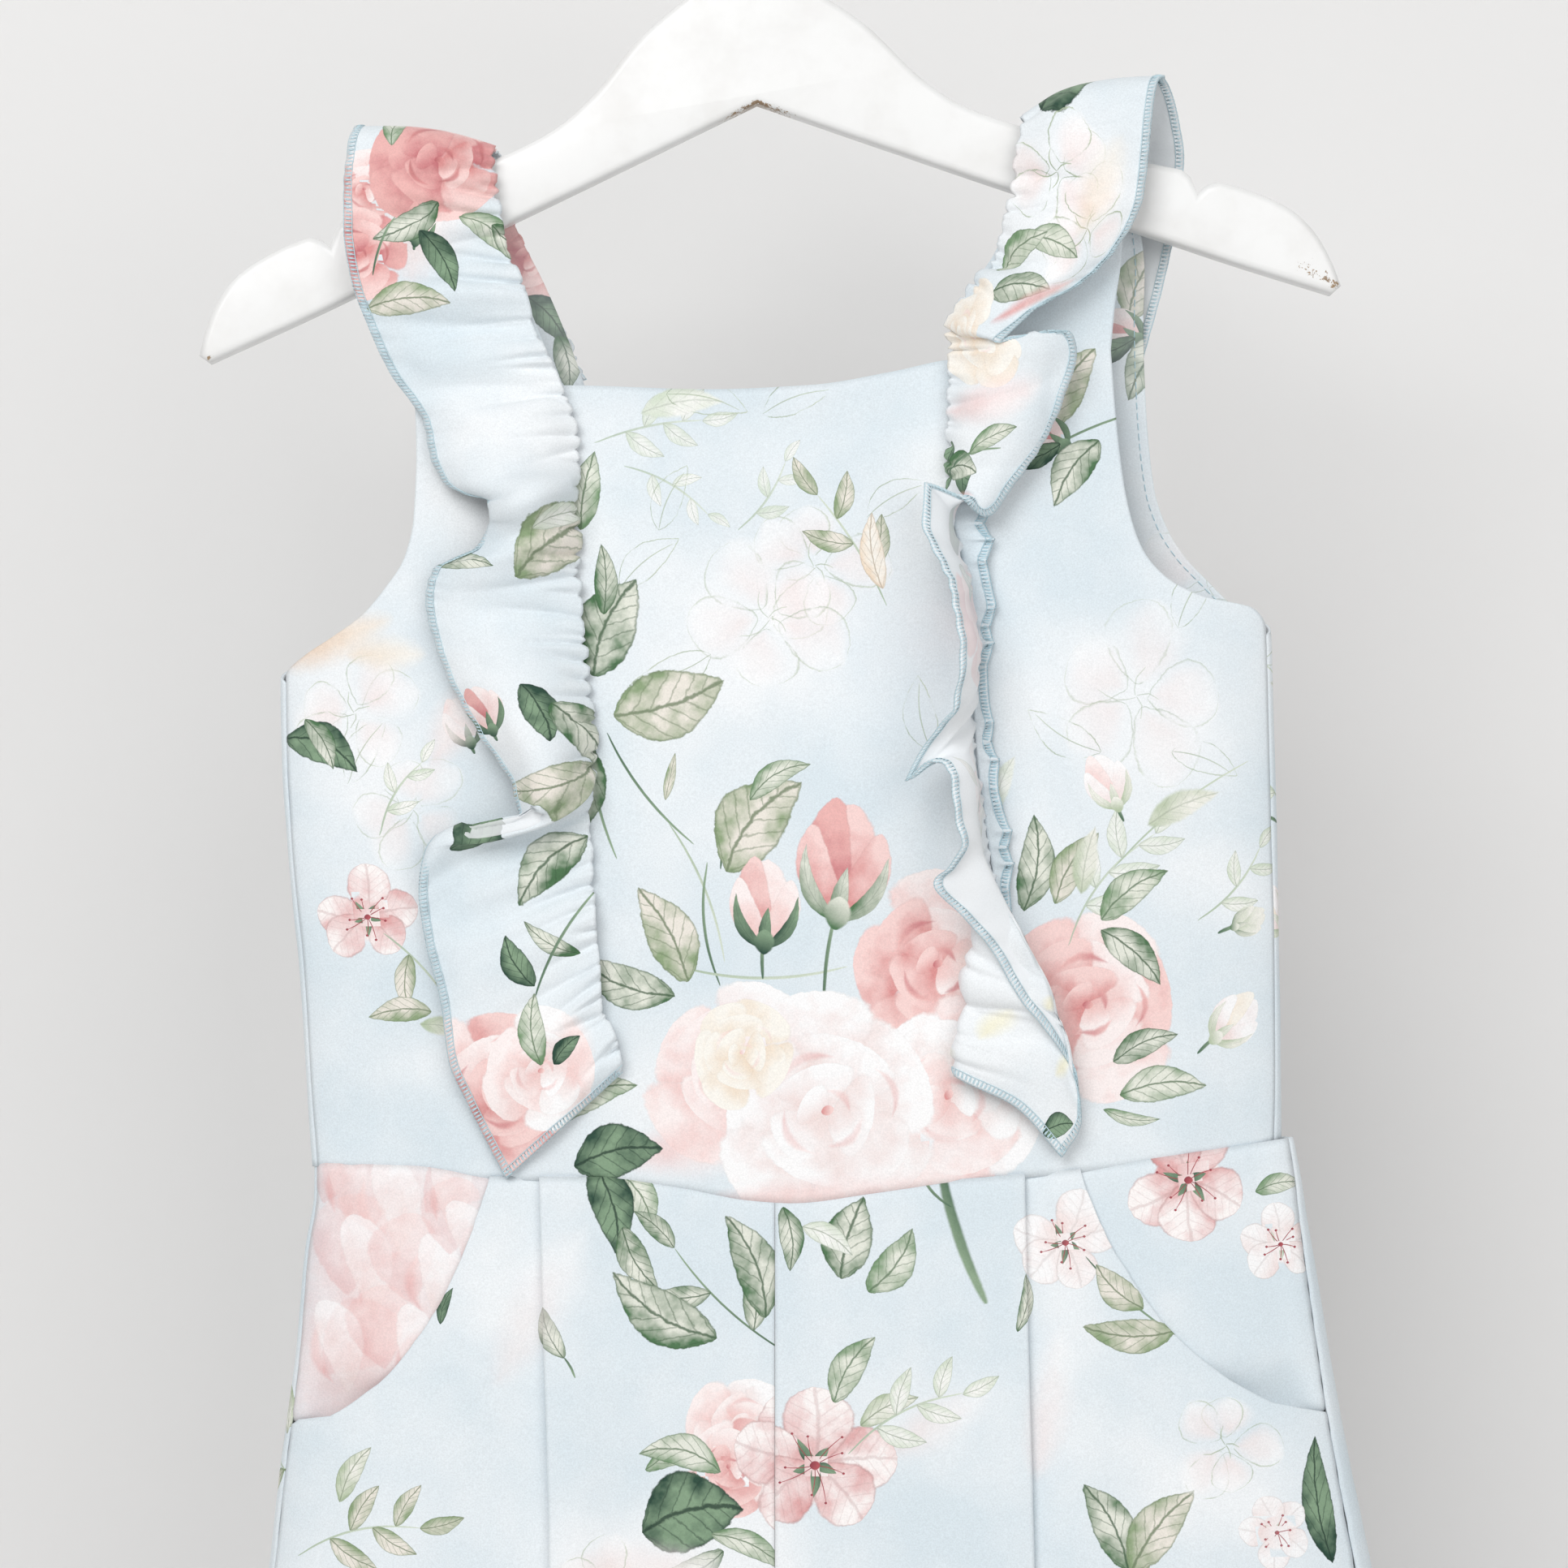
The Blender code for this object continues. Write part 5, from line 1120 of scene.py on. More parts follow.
# a closed piece of cloth on a grid of points in the middle of its wall
def clothPiece(name, grid, pattern, marks, clouds, facing, present=None, limit=None, relief=None,
               facedAbove=None, stands=True):
    rows, columns = grid.shape[:2]
    if present is None:
        present = np.ones((rows - 1, columns - 1), bool)
    across = grid[1:, 1:] - grid[:-1, :-1]
    along = grid[1:, :-1] - grid[:-1, 1:]
    faceNormal = unit(np.cross(across, along)) * present[..., None]
    normals = np.zeros_like(grid)
    for di in (0, 1):
        for dj in (0, 1):
            normals[di:rows - 1 + di, dj:columns - 1 + dj] += faceNormal
    length = np.linalg.norm(normals, axis=2, keepdims=True)
    normals = normals / np.where(length > 0, length, 1) * facing
    if relief is not None:
        grid = grid + normals * relief[..., None]
    skins = [grid + normals * cloth["wall"] / 2, grid - normals * cloth["wall"] / 2]
    if limit is not None:
        skins = [limit(skin) for skin in skins]
    points = np.concatenate([skin.reshape(-1, 3) for skin in skins])
    number = np.arange(rows * columns).reshape(rows, columns)
    i, j = np.nonzero(present)
    ring = asPoints(number[i, j], number[i, j + 1], number[i + 1, j + 1], number[i + 1, j])
    if facing < 0:
        ring = ring[:, ::-1]
    padded = np.zeros((rows + 1, columns + 1), bool)
    padded[1:-1, 1:-1] = present
    rims = []
    size = rows * columns
    for (di, dj), (one, two) in {(-1, 0): ((0, 0), (0, 1)), (0, 1): ((0, 1), (1, 1)),
                                 (1, 0): ((1, 1), (1, 0)), (0, -1): ((1, 0), (0, 0))}.items():
        i, j = np.nonzero(present & ~padded[1 + di:rows + di, 1 + dj:columns + dj])
        a = number[i + one[0], j + one[1]]
        b = number[i + two[0], j + two[1]]
        quad = asPoints(b, a, a + size, b + size)
        rims.append(quad if facing > 0 else quad[:, ::-1])
    faces = np.concatenate([ring, ring[:, ::-1] + size] + rims)
    used = np.unique(faces)
    renumber = np.full(len(points), -1)
    renumber[used] = np.arange(len(used))
    faces = renumber[faces]
    patternBoth = np.concatenate([pattern.reshape(-1, 2)] * 2)[used]
    mesh = smoothMesh(name + "_cloth", points[used], faces.tolist())
    layPrint(mesh, faces, patternBoth, marks)
    wrong = np.zeros(len(faces), np.float32)
    wrong[len(ring):2 * len(ring)] = 1
    if facedAbove is not None:
        wrong[(wrong > 0) & (patternBoth[faces][:, :, 1].mean(axis=1) > facedAbove)] = 0.25
    addValues(mesh, "wrongSide", "FACE", wrong)
    cloud = np.zeros(len(used))
    for x, z, wide, tall, strength in clouds:
        gap = ((patternBoth[:, 0] - x) / wide) ** 2 + ((patternBoth[:, 1] - z) / tall) ** 2
        cloud = np.maximum(cloud, strength * np.exp(-gap))
    addValues(mesh, "cloud", "POINT", cloud)
    mesh.materials.append(crepeCloth)
    piece = addObject(name + "_cloth", mesh)
    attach(piece, "root")
    if stands:
        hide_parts(name)
    print(name, "has", len(faces), "faces")
    return piece, grid, normals


# pattern places in mm: flat as seen from the front, but measured along the cloth where it turns away
def patternAlongRows(grid, middleColumn, z=None):
    stepX = np.diff(grid[..., 0], axis=1)
    stepY = np.diff(grid[..., 1], axis=1)
    run = np.sign(grid[:, -1, 0] - grid[:, 0, 0])[:, None] * np.hypot(stepX, stepY)
    walked = np.concatenate([np.zeros((len(grid), 1)), np.cumsum(run, axis=1)], axis=1)
    x = walked - walked[:, middleColumn][:, None] + grid[:, middleColumn, 0][:, None]
    return asPoints(x, grid[..., 2] if z is None else z)


# on a pleated front both panels keep their place and the jump is hidden inside the pleat
def patternBesidePleat(grid, hidden, margin=12):
    side = patternAlongRows(grid, margin)
    middle = patternAlongRows(grid, grid.shape[1] - margin)
    middle[:, :hidden] = side[:, :hidden]
    return middle


# soft ridges (height over 0) and troughs along straight lines: x, z, length, angle, width, height
def creaseRelief(grid, creases):
    relief = np.zeros(grid.shape[:2])
    for x, z, length, angle, wide, height in creases:
        cos, sin = heading(angle)
        dx = grid[..., 0] - x
        dz = grid[..., 2] - z
        s = (dx * cos + dz * sin) / (length / 2)
        t = (-dx * sin + dz * cos) / wide
        relief += height * np.exp(-t * t) * np.exp(-(s * s) ** 1.5)
    return relief


def softNoise(grid, seed, amount):
    relief = np.zeros(grid.shape[:2])
    for i in range(grid.shape[0]):
        for j in range(grid.shape[1]):
            x, y, z = grid[i, j]
            relief[i, j] = (noise.noise((x / 46 + seed, y / 46, z / 46))
                            + 0.35 * noise.noise((x / 15, y / 15 + seed, z / 15)))
    return relief * amount


# front of the bodice: the print as it lies in the photograph's view, in mm
def frontChart():
    p = Print()
    p.ghost(24, -243, 19, 10, 0.6)
    p.ghost(10, -259, 22, 40, 0.5)
    p.ghost(123, -283, 24, 0, 0.45)
    p.ghost(-118, -288, 17, 0, 0.6)
    p.ghost(-100, -318, 16, 30, 0.5)
    p.sprig(-44, -205, 34, 12, "mist", 5, 0.42, 0.05, 0.8)
    p.sprig(-35, -212, 30, -30, "mist", 4, 0.34, 0.08, 0.8)
    p.sprig(0, -232, 26, 55, "mist", 4, 0.4, -0.08, 0.8)
    p.leaf(-48, -232, 25, 80, "sage", 0.05, 0.42)
    p.leaf(-30, -196, 27, 8, "mist", 0.08, 0.38, "softLeaf")
    for x, z, length, angle in ((-22, -190, 26, -12), (8, -196, 24, 20), (-8, -270, 26, 200),
                                (40, -228, 22, 30), (-36, -250, 24, 40), (112, -300, 26, 150),
                                (136, -262, 24, 60), (-24, -232, 22, 66), (134, -300, 22, -20),
                                (-120, -310, 24, 60), (60, -300, 24, 100)):
        p.sketchLeaf(x, z, length, angle)
    p.sprig(46, -255, 40, 122, "greige", 4, 0.44, -0.04)
    p.leaf(45, -250, 24, 98, "cream", 0.08, 0.32)
    # the long branch on the left
    p.stem(-46, -290, 44, -78, 1.2, "stem", -0.05)
    p.stem(-40, -294, 44, -52, 1.1, "stem", -0.06)
    p.stem(-21, -322, 46, -68, 1, "paleStem", 0.06)
    p.leaf(-44, -277, 33, 66, "green", 0.1, 0.62)
    p.leaf(-41, -258, 22, 92, "green", -0.05, 0.34)
    p.leaf(-38, -289, 36, 18, "greige", -0.06, 0.62)
    p.leaf(-46, -297, 34, 253, "green", 0.08, 0.46)
    p.leaf(-22, -315, 15, 78, "greige", 0, 0.22)
    # branch with the big leaf, buds and stems
    p.stem(-5, -372, 38, 96, 1.2, "stem", 0.08)
    p.stem(-5, -336, 14, 84, 1.1, "stem", 0)
    p.leaf(-3, -337, 36, 50, "greige", 0.13, 0.62)
    p.leaf(4, -315, 22, 30, "sage", 0.14, 0.36)
    p.stem(-18, -366, 52, 0, 1.2, "paleStem", -0.07)
    p.leaf(-15, -371, 33, 118, "greige", -0.07, 0.48)
    p.leaf(-19, -375, 32, 158, "green", 0.1, 0.42)
    p.bud(8.5, -358, 26, 88, "blush", "pink", "dark", 12)
    p.bud(31, -349, 35, 82, "pink", "deep", "green", 30)
    # clouds of roses along the waist
    p.rose(0, -399, 27, "blush", "pink", 10)
    p.rose(62, -366, 27, turn=30)
    p.rose(108, -378, 28)
    p.wash(-8, -421, 60, 8, 24, "blush", 0.8)
    p.rose(66, -407, 30, "blush", "pink", 60)
    p.rose(28, -411, 34, "white", "pink", 20)
    p.wash(50, -424, 60, 4, 26, "white", 0.5)
    p.rose(2, -393, 16, "cream", "blush", 45)
    p.wash(40, -437, 110, 2, 18, "blush", 0.8)
    # right hand side
    p.leaf(88, -349, 30, 84, "green", -0.1)
    p.sprig(102, -360, 44, 52, "mist", 6, 0.4, 0.1, 0.9)
    p.leaf(98, -347, 26, 58, "greige")
    p.leaf(112, -352, 26, 36, "sage", 0.1, 0.42)
    p.leaf(112, -355, 25, -42, "green", 0.08, 0.44)
    p.leaf(106, -344, 22, 78, "pale", 0.04, 0.4, "softLeaf")
    p.bud(117, -316, 17, 112, "white", "blush", "pale", 6)
    p.stem(116, -336, 54, 38, 0.8, "paleStem", 0.05)
    p.leaf(126, -323, 26, 24, "pale", 0.06, 0.38, "softLeaf")
    p.sprig(142, -352, 30, 48, "mist", 4, 0.4, -0.08)
    p.bud(154, -354, 11, 20, "pale", "pale", "green", 6)
    p.leaf(118, -406, 27, 6, "sage", 0.1, 0.42)
    p.leaf(116, -396, 22, 24)
    p.leaf(113, -410, 18, -10, "sage", -0.1, 0.24)
    p.bud(148, -388, 18, 40, "white", "cream", "pale", 8)
    p.leaf(98, -200, 28, 62, "greige", 0.12, 0.5)
    p.stem(88, -212, 44, 24, 1, "stem", 0.05)
    p.bud(101, -205, 15, 152, "blush", "deep", "dark", 4)
    p.leaf(112, -204, 25, 236, "green", -0.1, 0.5)
    p.leaf(100, -205, 20, 196, "dark", 0.1, 0.36)
    p.leaf(80, -318, 18, 70, "mist", 0.1, 0.4, "softLeaf")
    # left hand side
    p.wash(-126, -266, 44, 20, 20, "apricot", 0.75)
    p.wash(-108, -270, 26, 0, 16, "cream", 0.8)
    p.leaf(-141, -296, 26, -24, "dark", 0.16, 0.5)
    p.leaf(-134, -290, 18, -60)
    p.bud(-82, -297, 15, 110, "white", "blush", "dark", 4)
    p.wash(-86, -290, 34, 60, 20, "white", 0.8)
    p.blossom(-114, -351, 15, 20)
    p.sprig(-109, -356, 34, -48, "greige", 3, 0.5, 0.06)
    p.leaf(-94, -380, 20, 186, "greige", -0.08)
    p.leaf(-98, -384, 17, -14, "pale", 0.08, 0.4, "softLeaf")
    p.sprig(-110, -326, 26, 60, "mist", 4)
    p.leaf(-58, -414, 30, 22, "sage", 0.14)
    p.leaf(-50, -428, 28, 12, "dark", 0.1, 0.62)
    return p.marks


frontClouds = [
    (0, -262, 40, 30, 0.9), (123, -285, 34, 30, 1), (-118, -290, 24, 26, 0.95), (30, -405, 75, 22, 1),
    (-80, -225, 34, 36, 0.9), (-108, -345, 20, 16, 0.7), (95, -335, 26, 20, 0.7), (70, -225, 30, 30, 0.6),
    (-100, -395, 16, 12, 0.5), (145, -340, 18, 14, 0.6)]


# the back's print is the front's, moved
def shifted(marks, dx, dz):
    return [(form, x + dx, z + dz, *rest) for form, x, z, *rest in marks]


def leftLegChart():
    p = Print()
    p.leaf(-36, -430, 20, -60, "sage", 0.12, 0.5)
    p.leaf(-45, -426, 30, -74, "dark", 0.1, 0.46)
    p.leaf(-35, -446, 22, 300, "green", -0.1, 0.44)
    p.sprig(18, -486, 50, 138, "green", 3, 0.42, 0.06)
    p.leaf(-6, -480, 38, 148, "green", 0.1, 0.44)
    p.leaf(9, -474, 34, 112, "green", -0.1, 0.42)
    p.leaf(-53, -486, 17, 112)
    p.stem(-53, -486, 7, -62, 1)
    p.leaf(-91, -476, 12, 70, "dark", 0.1, 0.3)
    p.wash(-60, -470, 60, 60, 26, "white", 0.45)
    p.rose(3, -508, 17, "blush", "pink")
    p.rose(-2, -520, 15, turn=60)
    p.blossom(22, -517, 24, 35)
    p.leaf(-28, -521, 20, 10, "sage", 0.2, 0.36)
    p.leaf(-5, -521, 26, 168, "sage", -0.16, 0.42)
    p.leaf(-29, -540, 32, 14, "dark", 0.12, 0.8)
    p.leaf(-4, -545, 22, 200, "green", 0.14)
    p.leaf(-8, -540, 26, -26, "sage", 0.1, 0.3)
    p.sprig(-136, -548, 40, 14, "greige", 5, 0.44)
    p.leaf(-122, -531, 20, 60, "pale", 0.1, 0.36)
    p.wash(-28, -552, 60, 0, 24, "white", 0.8)
    p.ghost(-40, -560, 16, 0, 0.6)
    p.rose(-104, -640, 25, turn=20)
    p.sprig(-96, -618, 50, 62, "green", 5, 0.4, 0.08)
    p.leaf(-124, -632, 30, 150, "green", 0.1, 0.46)
    p.bud(-40, -612, 24, 80, "pink", "deep", "green", 22)
    p.sprig(-36, -660, 54, 118, "sage", 5, 0.4, 0.06)
    p.ghost(-60, -684, 20, 20, 0.6)
    p.blossom(-128, -700, 18)
    p.leaf(-20, -700, 32, 60, "greige", 0.1, 0.46)
    p.leaf(-24, -704, 30, 130, "green", -0.1, 0.42)
    return p.marks


def rightLegChart():
    p = Print()
    p.leaf(14, -440, 20, -84)
    p.leaf(32, -462, 26, 74, "green", 0.06, 0.62)
    p.leaf(40, -466, 24, 54, "sage", -0.1, 0.5)
    p.leaf(20, -446, 18, -30, "mist")
    p.stem(62, -424, 48, -72, 4.4, "stem", -0.04)
    p.stem(66, -440, 16, 130, 1.2, "stem", 0.1)
    p.blossom(101, -451, 16, 10, "white", "dark", 0.95)
    p.stem(107, -455, 37, -41, 0.9, "stem", -0.04)
    p.leaf(125, -471, 20, 137, "greige", 0.1, 0.5)
    p.leaf(135, -478, 29, 177, "greige", 0.08, 0.38)
    p.leaf(86, -478, 18, 82, "green", -0.1, 0.24)
    p.blossom(24, -519, 24, 15)
    p.leaf(30, -500, 24, 58, "sage", 0.1, 0.44)
    p.leaf(38, -507, 20, 26, "pale")
    p.wash(62, -506, 40, 30, 20, "white", 0.6)
    p.sprig(34, -516, 40, 28, "mist")
    p.leaf(120, -551, 30, 118, "green", -0.08, 0.44)
    p.leaf(121, -552, 32, 52, "greige", 0.08, 0.46)
    p.leaf(112, -556, 24, 200, "sage", 0.1, 0.3)
    p.leaf(184, -550, 40, 98, "dark", 0.06, 0.26)
    p.blossom(166, -540, 11, 40, "white", "sage", 0.9)
    p.ghost(150, -513, 15, 0, 0.7)
    p.wash(96, -500, 50, 80, 20, "white", 0.6)
    p.rose(60, -612, 27, "blush", "pink", 10)
    p.rose(88, -632, 22, turn=50)
    p.leaf(44, -588, 30, 112, "green", 0.1, 0.46)
    p.leaf(104, -610, 32, 40, "green", -0.1, 0.46)
    p.sprig(120, -640, 52, 60, "sage", 5, 0.4, 0.08)
    p.bud(160, -610, 24, 96, "pink", "deep", "green", 22)
    p.ghost(180, -660, 20, 30, 0.6)
    p.blossom(140, -700, 19, 20)
    p.leaf(50, -704, 32, 70, "greige", 0.1, 0.46)
    p.leaf(60, -704, 28, 20, "green", -0.1, 0.42)
    return p.marks


legClouds = [(-70, -466, 14, 34, 0.7), (-20, -548, 50, 22, 0.9), (62, -505, 26, 26, 0.5),
             (100, -470, 12, 40, 0.6), (150, -528, 26, 18, 0.8), (-104, -600, 40, 50, 0.8),
             (90, -610, 50, 40, 0.8), (170, -650, 40, 40, 0.6), (-30, -690, 50, 30, 0.7)]


def facingChart(isLeft):
    p = Print()
    if isLeft:
        p.wash(-108, -465, 150, 80, 110, "blush", 0.75)
        petals = ((-128, -440, 26), (-112, -448, 30), (-96, -442, 26), (-120, -468, 32),
                  (-100, -470, 28), (-128, -492, 30), (-108, -490, 26), (-88, -455, 24))
        for k, (x, z, size) in enumerate(petals):
            p.mark("petal", x, z, size, 70 + 34 * math.sin(2.2 * k), size * 0.8, "pink", 0.12, 0.3)
            p.mark("stroke", x + 4, z - 3, size * 0.7, 78 + 30 * math.sin(1.7 * k), size * 0.2,
                   "pink", 0.2, 0.5)
            p.mark("petal", x + 8, z - 6, size, 100 + 30 * math.sin(3.1 * k), size * 0.5,
                   "white", -0.1, 0.6)
    else:
        p.blossom(139, -432, 20, 55)
        p.blossom(168, -452, 12, 20, "white", "sage")
        p.leaf(160, -436, 16, 10, "sage")
    return p.marks


# the ruffles' print; the left one as seen from the front, the right one as if it lay unfolded
def leftRuffleChart():
    p = Print()
    p.wash(-96, -128, 60, 80, 44, "white", 0.9)
    p.rose(-114, -127, 13, turn=50)
    p.rose(-92, -117, 21, "deep", "stroke", 20)
    p.rose(-117, -148, 15, "deep", "stroke", 10)
    p.leaf(-106, -112, 18, 76, "sage")
    p.bud(-99, -143, 13, 80, "blush", "deep", "dark", 3)
    p.leaf(-92, -130, 24, 212, "green", 0.1, 0.42)
    p.leaf(-98, -140, 22, -60, "dark")
    p.leaf(-86, -134, 22, -40, "sage")
    p.stem(-112, -154, 20, 70, 1)
    p.leaf(-114, -164, 26, 4, "greige")
    p.leaf(-76, -138, 22, -28, "green", -0.1)
    p.leaf(-70, -120, 20, -70, "deep", 0.1, 0.5, "petal")
    p.rose(-70, -74, 14, "deep", "stroke")
    p.leaf(-66, -62, 18, 60, "dark", 0.1, 0.5)
    p.leaf(-60, -48, 16, 100, "green", 0.1, 0.5)
    p.leaf(-68, -246, 38, 30, "greige", 0.12, 0.5)
    p.leaf(-92, -243, 18, 0, "green", 0.1, 0.3)
    p.leaf(-62, -232, 18, 20, "mist")
    p.bud(-74, -293, 15, 116, "blush", "deep", "dark", 4)
    p.leaf(-66, -280, 20, -66, "dark", 0.1, 0.5)
    p.leaf(-58, -286, 26, -52, "green", 0.1, 0.5)
    p.leaf(-46, -304, 26, 196, "greige", 0.14, 0.46)
    p.leaf(-46, -326, 30, 226, "green", -0.12, 0.5)
    p.leaf(-88, -330, 20, 20, "dark")
    p.leaf(-48, -362, 20, 150, "green", 0.1, 0.3)
    p.stem(-62, -376, 40, 60, 1.2)
    p.leaf(-62, -372, 18, 120, "dark", 0.1, 0.5)
    p.rose(-72, -404, 26, turn=80)
    p.rose(-60, -398, 18, "blush", "pink", 10)
    p.leaf(-60, -396, 22, 95, "sage")
    p.wash(-50, -392, 24, 90, 16, "blush", 0.9)
    p.leaf(-56, -396, 12, 48, "dark", 0.1, 0.5)
    return p.marks


def rightRuffleChart():
    p = Print()
    p.leaf(96, -104, 30, 24, "dark", 0.1, 0.6)
    p.leaf(112, -96, 20, -10)
    p.ghost(102, -122, 17, 0, 0.9)
    p.ghost(114, -136, 14, 40, 0.9)
    p.wash(118, -126, 30, 60, 20, "cream", 0.7)
    p.leaf(94, -140, 20, -10, "sage")
    p.leaf(84, -152, 22, 40, "sage")
    p.leaf(88, -158, 24, 8)
    p.wash(108, -158, 26, 30, 10, "pink", 0.9)
    p.leaf(72, -168, 22, 14, "dark", -0.12)
    p.leaf(68, -176, 26, 30)
    p.rose(80, -172, 15, "cream", "blush")
    p.wash(84, -190, 40, 20, 16, "blush", 0.7)
    p.leaf(70, -204, 18, 250, "dark", 0.1, 0.5)
    p.leaf(74, -208, 20, -40, "dark", 0.1, 0.5)
    p.leaf(68, -214, 22, 10, "green", 0.1, 0.42)
    p.stem(68, -216, 30, 30, 1.2)
    p.leaf(82, -206, 18, 40, "sage")
    p.wash(86, -224, 30, 20, 14, "pink", 0.9)
    p.wash(90, -246, 34, 60, 22, "blush", 0.9)
    p.rose(96, -262, 19, "deep", "stroke")
    p.leaf(98, -240, 22, 120, "dark", 0.1, 0.5)
    p.leaf(104, -244, 20, 200, "green", 0.1, 0.5)
    p.leaf(80, -280, 24, 60)
    p.blossom(92, -312, 15, 10)
    p.sprig(84, -344, 40, 60, "greige")
    for x, z, size in ((92, -362, 9), (104, -376, 11), (112, -366, 7), (96, -388, 7), (118, -382, 8)):
        p.wash(x, z, size, 70, size * 0.7, "spot", 0.8)
    p.leaf(123, -396, 9, 60, "dark", 0.1, 0.6)
    return p.marks


# main creases, given one by one: x, z, length, angle, half width, height (below 0 is a trough)
creases = {
    "bodice_front": [
        (-110, -410, 60, 62, 9, -0.8), (-92, -400, 70, 70, 8, 0.7), (-120, -300, 60, 48, 10, -0.7),
        (-104, -262, 44, 30, 7, 0.6), (-20, -420, 60, 82, 12, -0.5), (120, -412, 70, 104, 10, -0.8),
        (140, -400, 60, 98, 8, 0.7), (120, -240, 60, 120, 9, -0.7), (148, -290, 70, 100, 9, 0.6),
        (110, -330, 80, 96, 12, -0.6), (20, -200, 90, 4, 8, -0.6), (0, -225, 70, 10, 12, 0.5),
        (60, -420, 50, 76, 9, 0.5), (-70, -200, 40, 80, 7, -0.5), (40, -310, 120, 84, 18, 0.6)],
    "bodice_back_left": [
        (-100, -400, 60, 76, 8, -0.8), (-60, -410, 70, 84, 9, 0.7), (-30, -300, 110, 86, 12, -0.7),
        (-110, -270, 60, 50, 8, -0.7), (-20, -210, 60, 8, 9, -0.6), (0, -410, 50, 88, 6, 0.6)],
    "bodice_back_right": [
        (140, -400, 66, 100, 8, -0.8), (90, -404, 60, 94, 10, 0.8), (60, -300, 120, 92, 11, -0.7),
        (140, -270, 60, 124, 8, -0.7), (60, -206, 60, 174, 9, -0.6), (34, -412, 44, 92, 6, 0.5)],
    "leg_front_left": [
        (-90, -640, 150, 84, 12, -1.2), (-110, -580, 110, 76, 9, 0.9), (-30, -620, 170, 92, 12, -1),
        (-8, -690, 90, 98, 9, 1), (-80, -530, 60, 70, 9, -0.6), (-138, -660, 120, 82, 8, 0.8),
        (-40, -700, 80, 86, 9, 0.8), (-20, -480, 80, 88, 10, 0.5)],
    "leg_front_right": [
        (130, -640, 150, 97, 12, -1.2), (156, -580, 120, 106, 9, 0.9), (56, -620, 170, 88, 12, -1),
        (30, -690, 90, 84, 9, 1), (120, -530, 60, 110, 9, -0.6), (194, -660, 120, 100, 8, 0.8),
        (74, -700, 80, 92, 9, 0.8), (50, -480, 80, 92, 10, 0.5)],
    "leg_back_left": [
        (-100, -620, 170, 86, 12, -1.2), (-60, -560, 150, 90, 12, 1), (-24, -600, 120, 78, 10, -1),
        (-30, -690, 90, 84, 9, 1), (-130, -540, 90, 80, 8, 0.7), (-70, -700, 80, 92, 9, -0.8)],
    "leg_back_right": [
        (140, -620, 170, 96, 12, -1.2), (90, -560, 150, 90, 12, 1), (46, -600, 120, 102, 10, -1),
        (60, -690, 90, 96, 9, 1), (180, -540, 90, 102, 8, 0.7), (110, -700, 80, 88, 9, -0.8)],
}


# high up on the leg backs the print ends here, so that none of it peeps past the side seam
backPrint = {"right": 178, "low": -560}


def creased(name, grid, seed):
    return creaseRelief(grid, creases[name]) + softNoise(grid, seed, cloth["unevenness"])


# creases fade toward the waist seam and the neckline
def bodiceFade(grid, neck):
    return ease((grid[..., 2] - grid[0, :, 2]) / 14) * (1 - ease((grid[..., 2] - neck) / 20))


def bodyPieces():
    pieces = {}
    grid, present = frontGrid()
    relief = creased("bodice_front", grid, seed=1.7) * bodiceFade(grid, neck=-190)
    pattern = patternAlongRows(grid, middleColumn=53)
    pieces["bodice_front"] = clothPiece("bodice_front", grid, pattern, frontChart(), frontClouds, 1,
                                        present, relief=relief, facedAbove=-262)
    for side, isLeft in (("left", True), ("right", False)):
        facing = 1 if isLeft else -1
        name = "bodice_back_" + side
        grid, present = backGrid(isLeft)
        relief = creased(name, grid, seed=5.1) * bodiceFade(grid, neck=-194)
        pattern = patternAlongRows(grid, middleColumn=0)
        marks = shifted(frontChart(), 24, 34) + shifted(frontChart(), 24, -190)
        strapPrint = Print()
        strapPrint.rose(-66, -146, 13, "deep", "stroke")
        strapPrint.leaf(-66, -158, 20, -50, "dark", 0.1, 0.5)
        strapPrint.leaf(-56, -170, 18, -80, "green", 0.1, 0.5)
        marks += strapPrint.marks
        pieces[name] = clothPiece(name, grid, pattern, marks, frontClouds, facing, present,
                                  relief=relief, facedAbove=-262)
        name = "leg_front_" + side
        grid = legFrontGrid(isLeft)
        relief = creased(name, grid, seed=9.3) * ease((grid[0, :, 2] - grid[..., 2]) / 30)
        pattern = patternBesidePleat(grid, hidden=28)
        chart = leftLegChart() if isLeft else rightLegChart()
        pieces[name] = clothPiece(name, grid, pattern, chart, legClouds, -facing,
                                  relief=relief, limit=keepApart(isLeft, False))
        name = "leg_back_" + side
        grid = legBackGrid(isLeft)
        relief = creased(name, grid, seed=3.9) * ease((grid[0, :, 2] - grid[..., 2]) / 24)
        pattern = patternAlongRows(grid, middleColumn=26)
        chart = shifted(leftLegChart() + rightLegChart(), -30 if isLeft else 24, 20)
        chart = [mark for mark in chart if mark[1] < backPrint["right"] or mark[2] < backPrint["low"]]
        pieces[name] = clothPiece(name, grid, pattern, chart, legClouds, facing,
                                  relief=relief, limit=keepApart(isLeft, True))
        name = "pocket_facing_" + side
        grid = facingGrid(isLeft)
        pattern = patternAlongRows(grid, middleColumn=15)
        pieces[name] = clothPiece(name, grid, pattern, facingChart(isLeft), [], -facing)
    return pieces


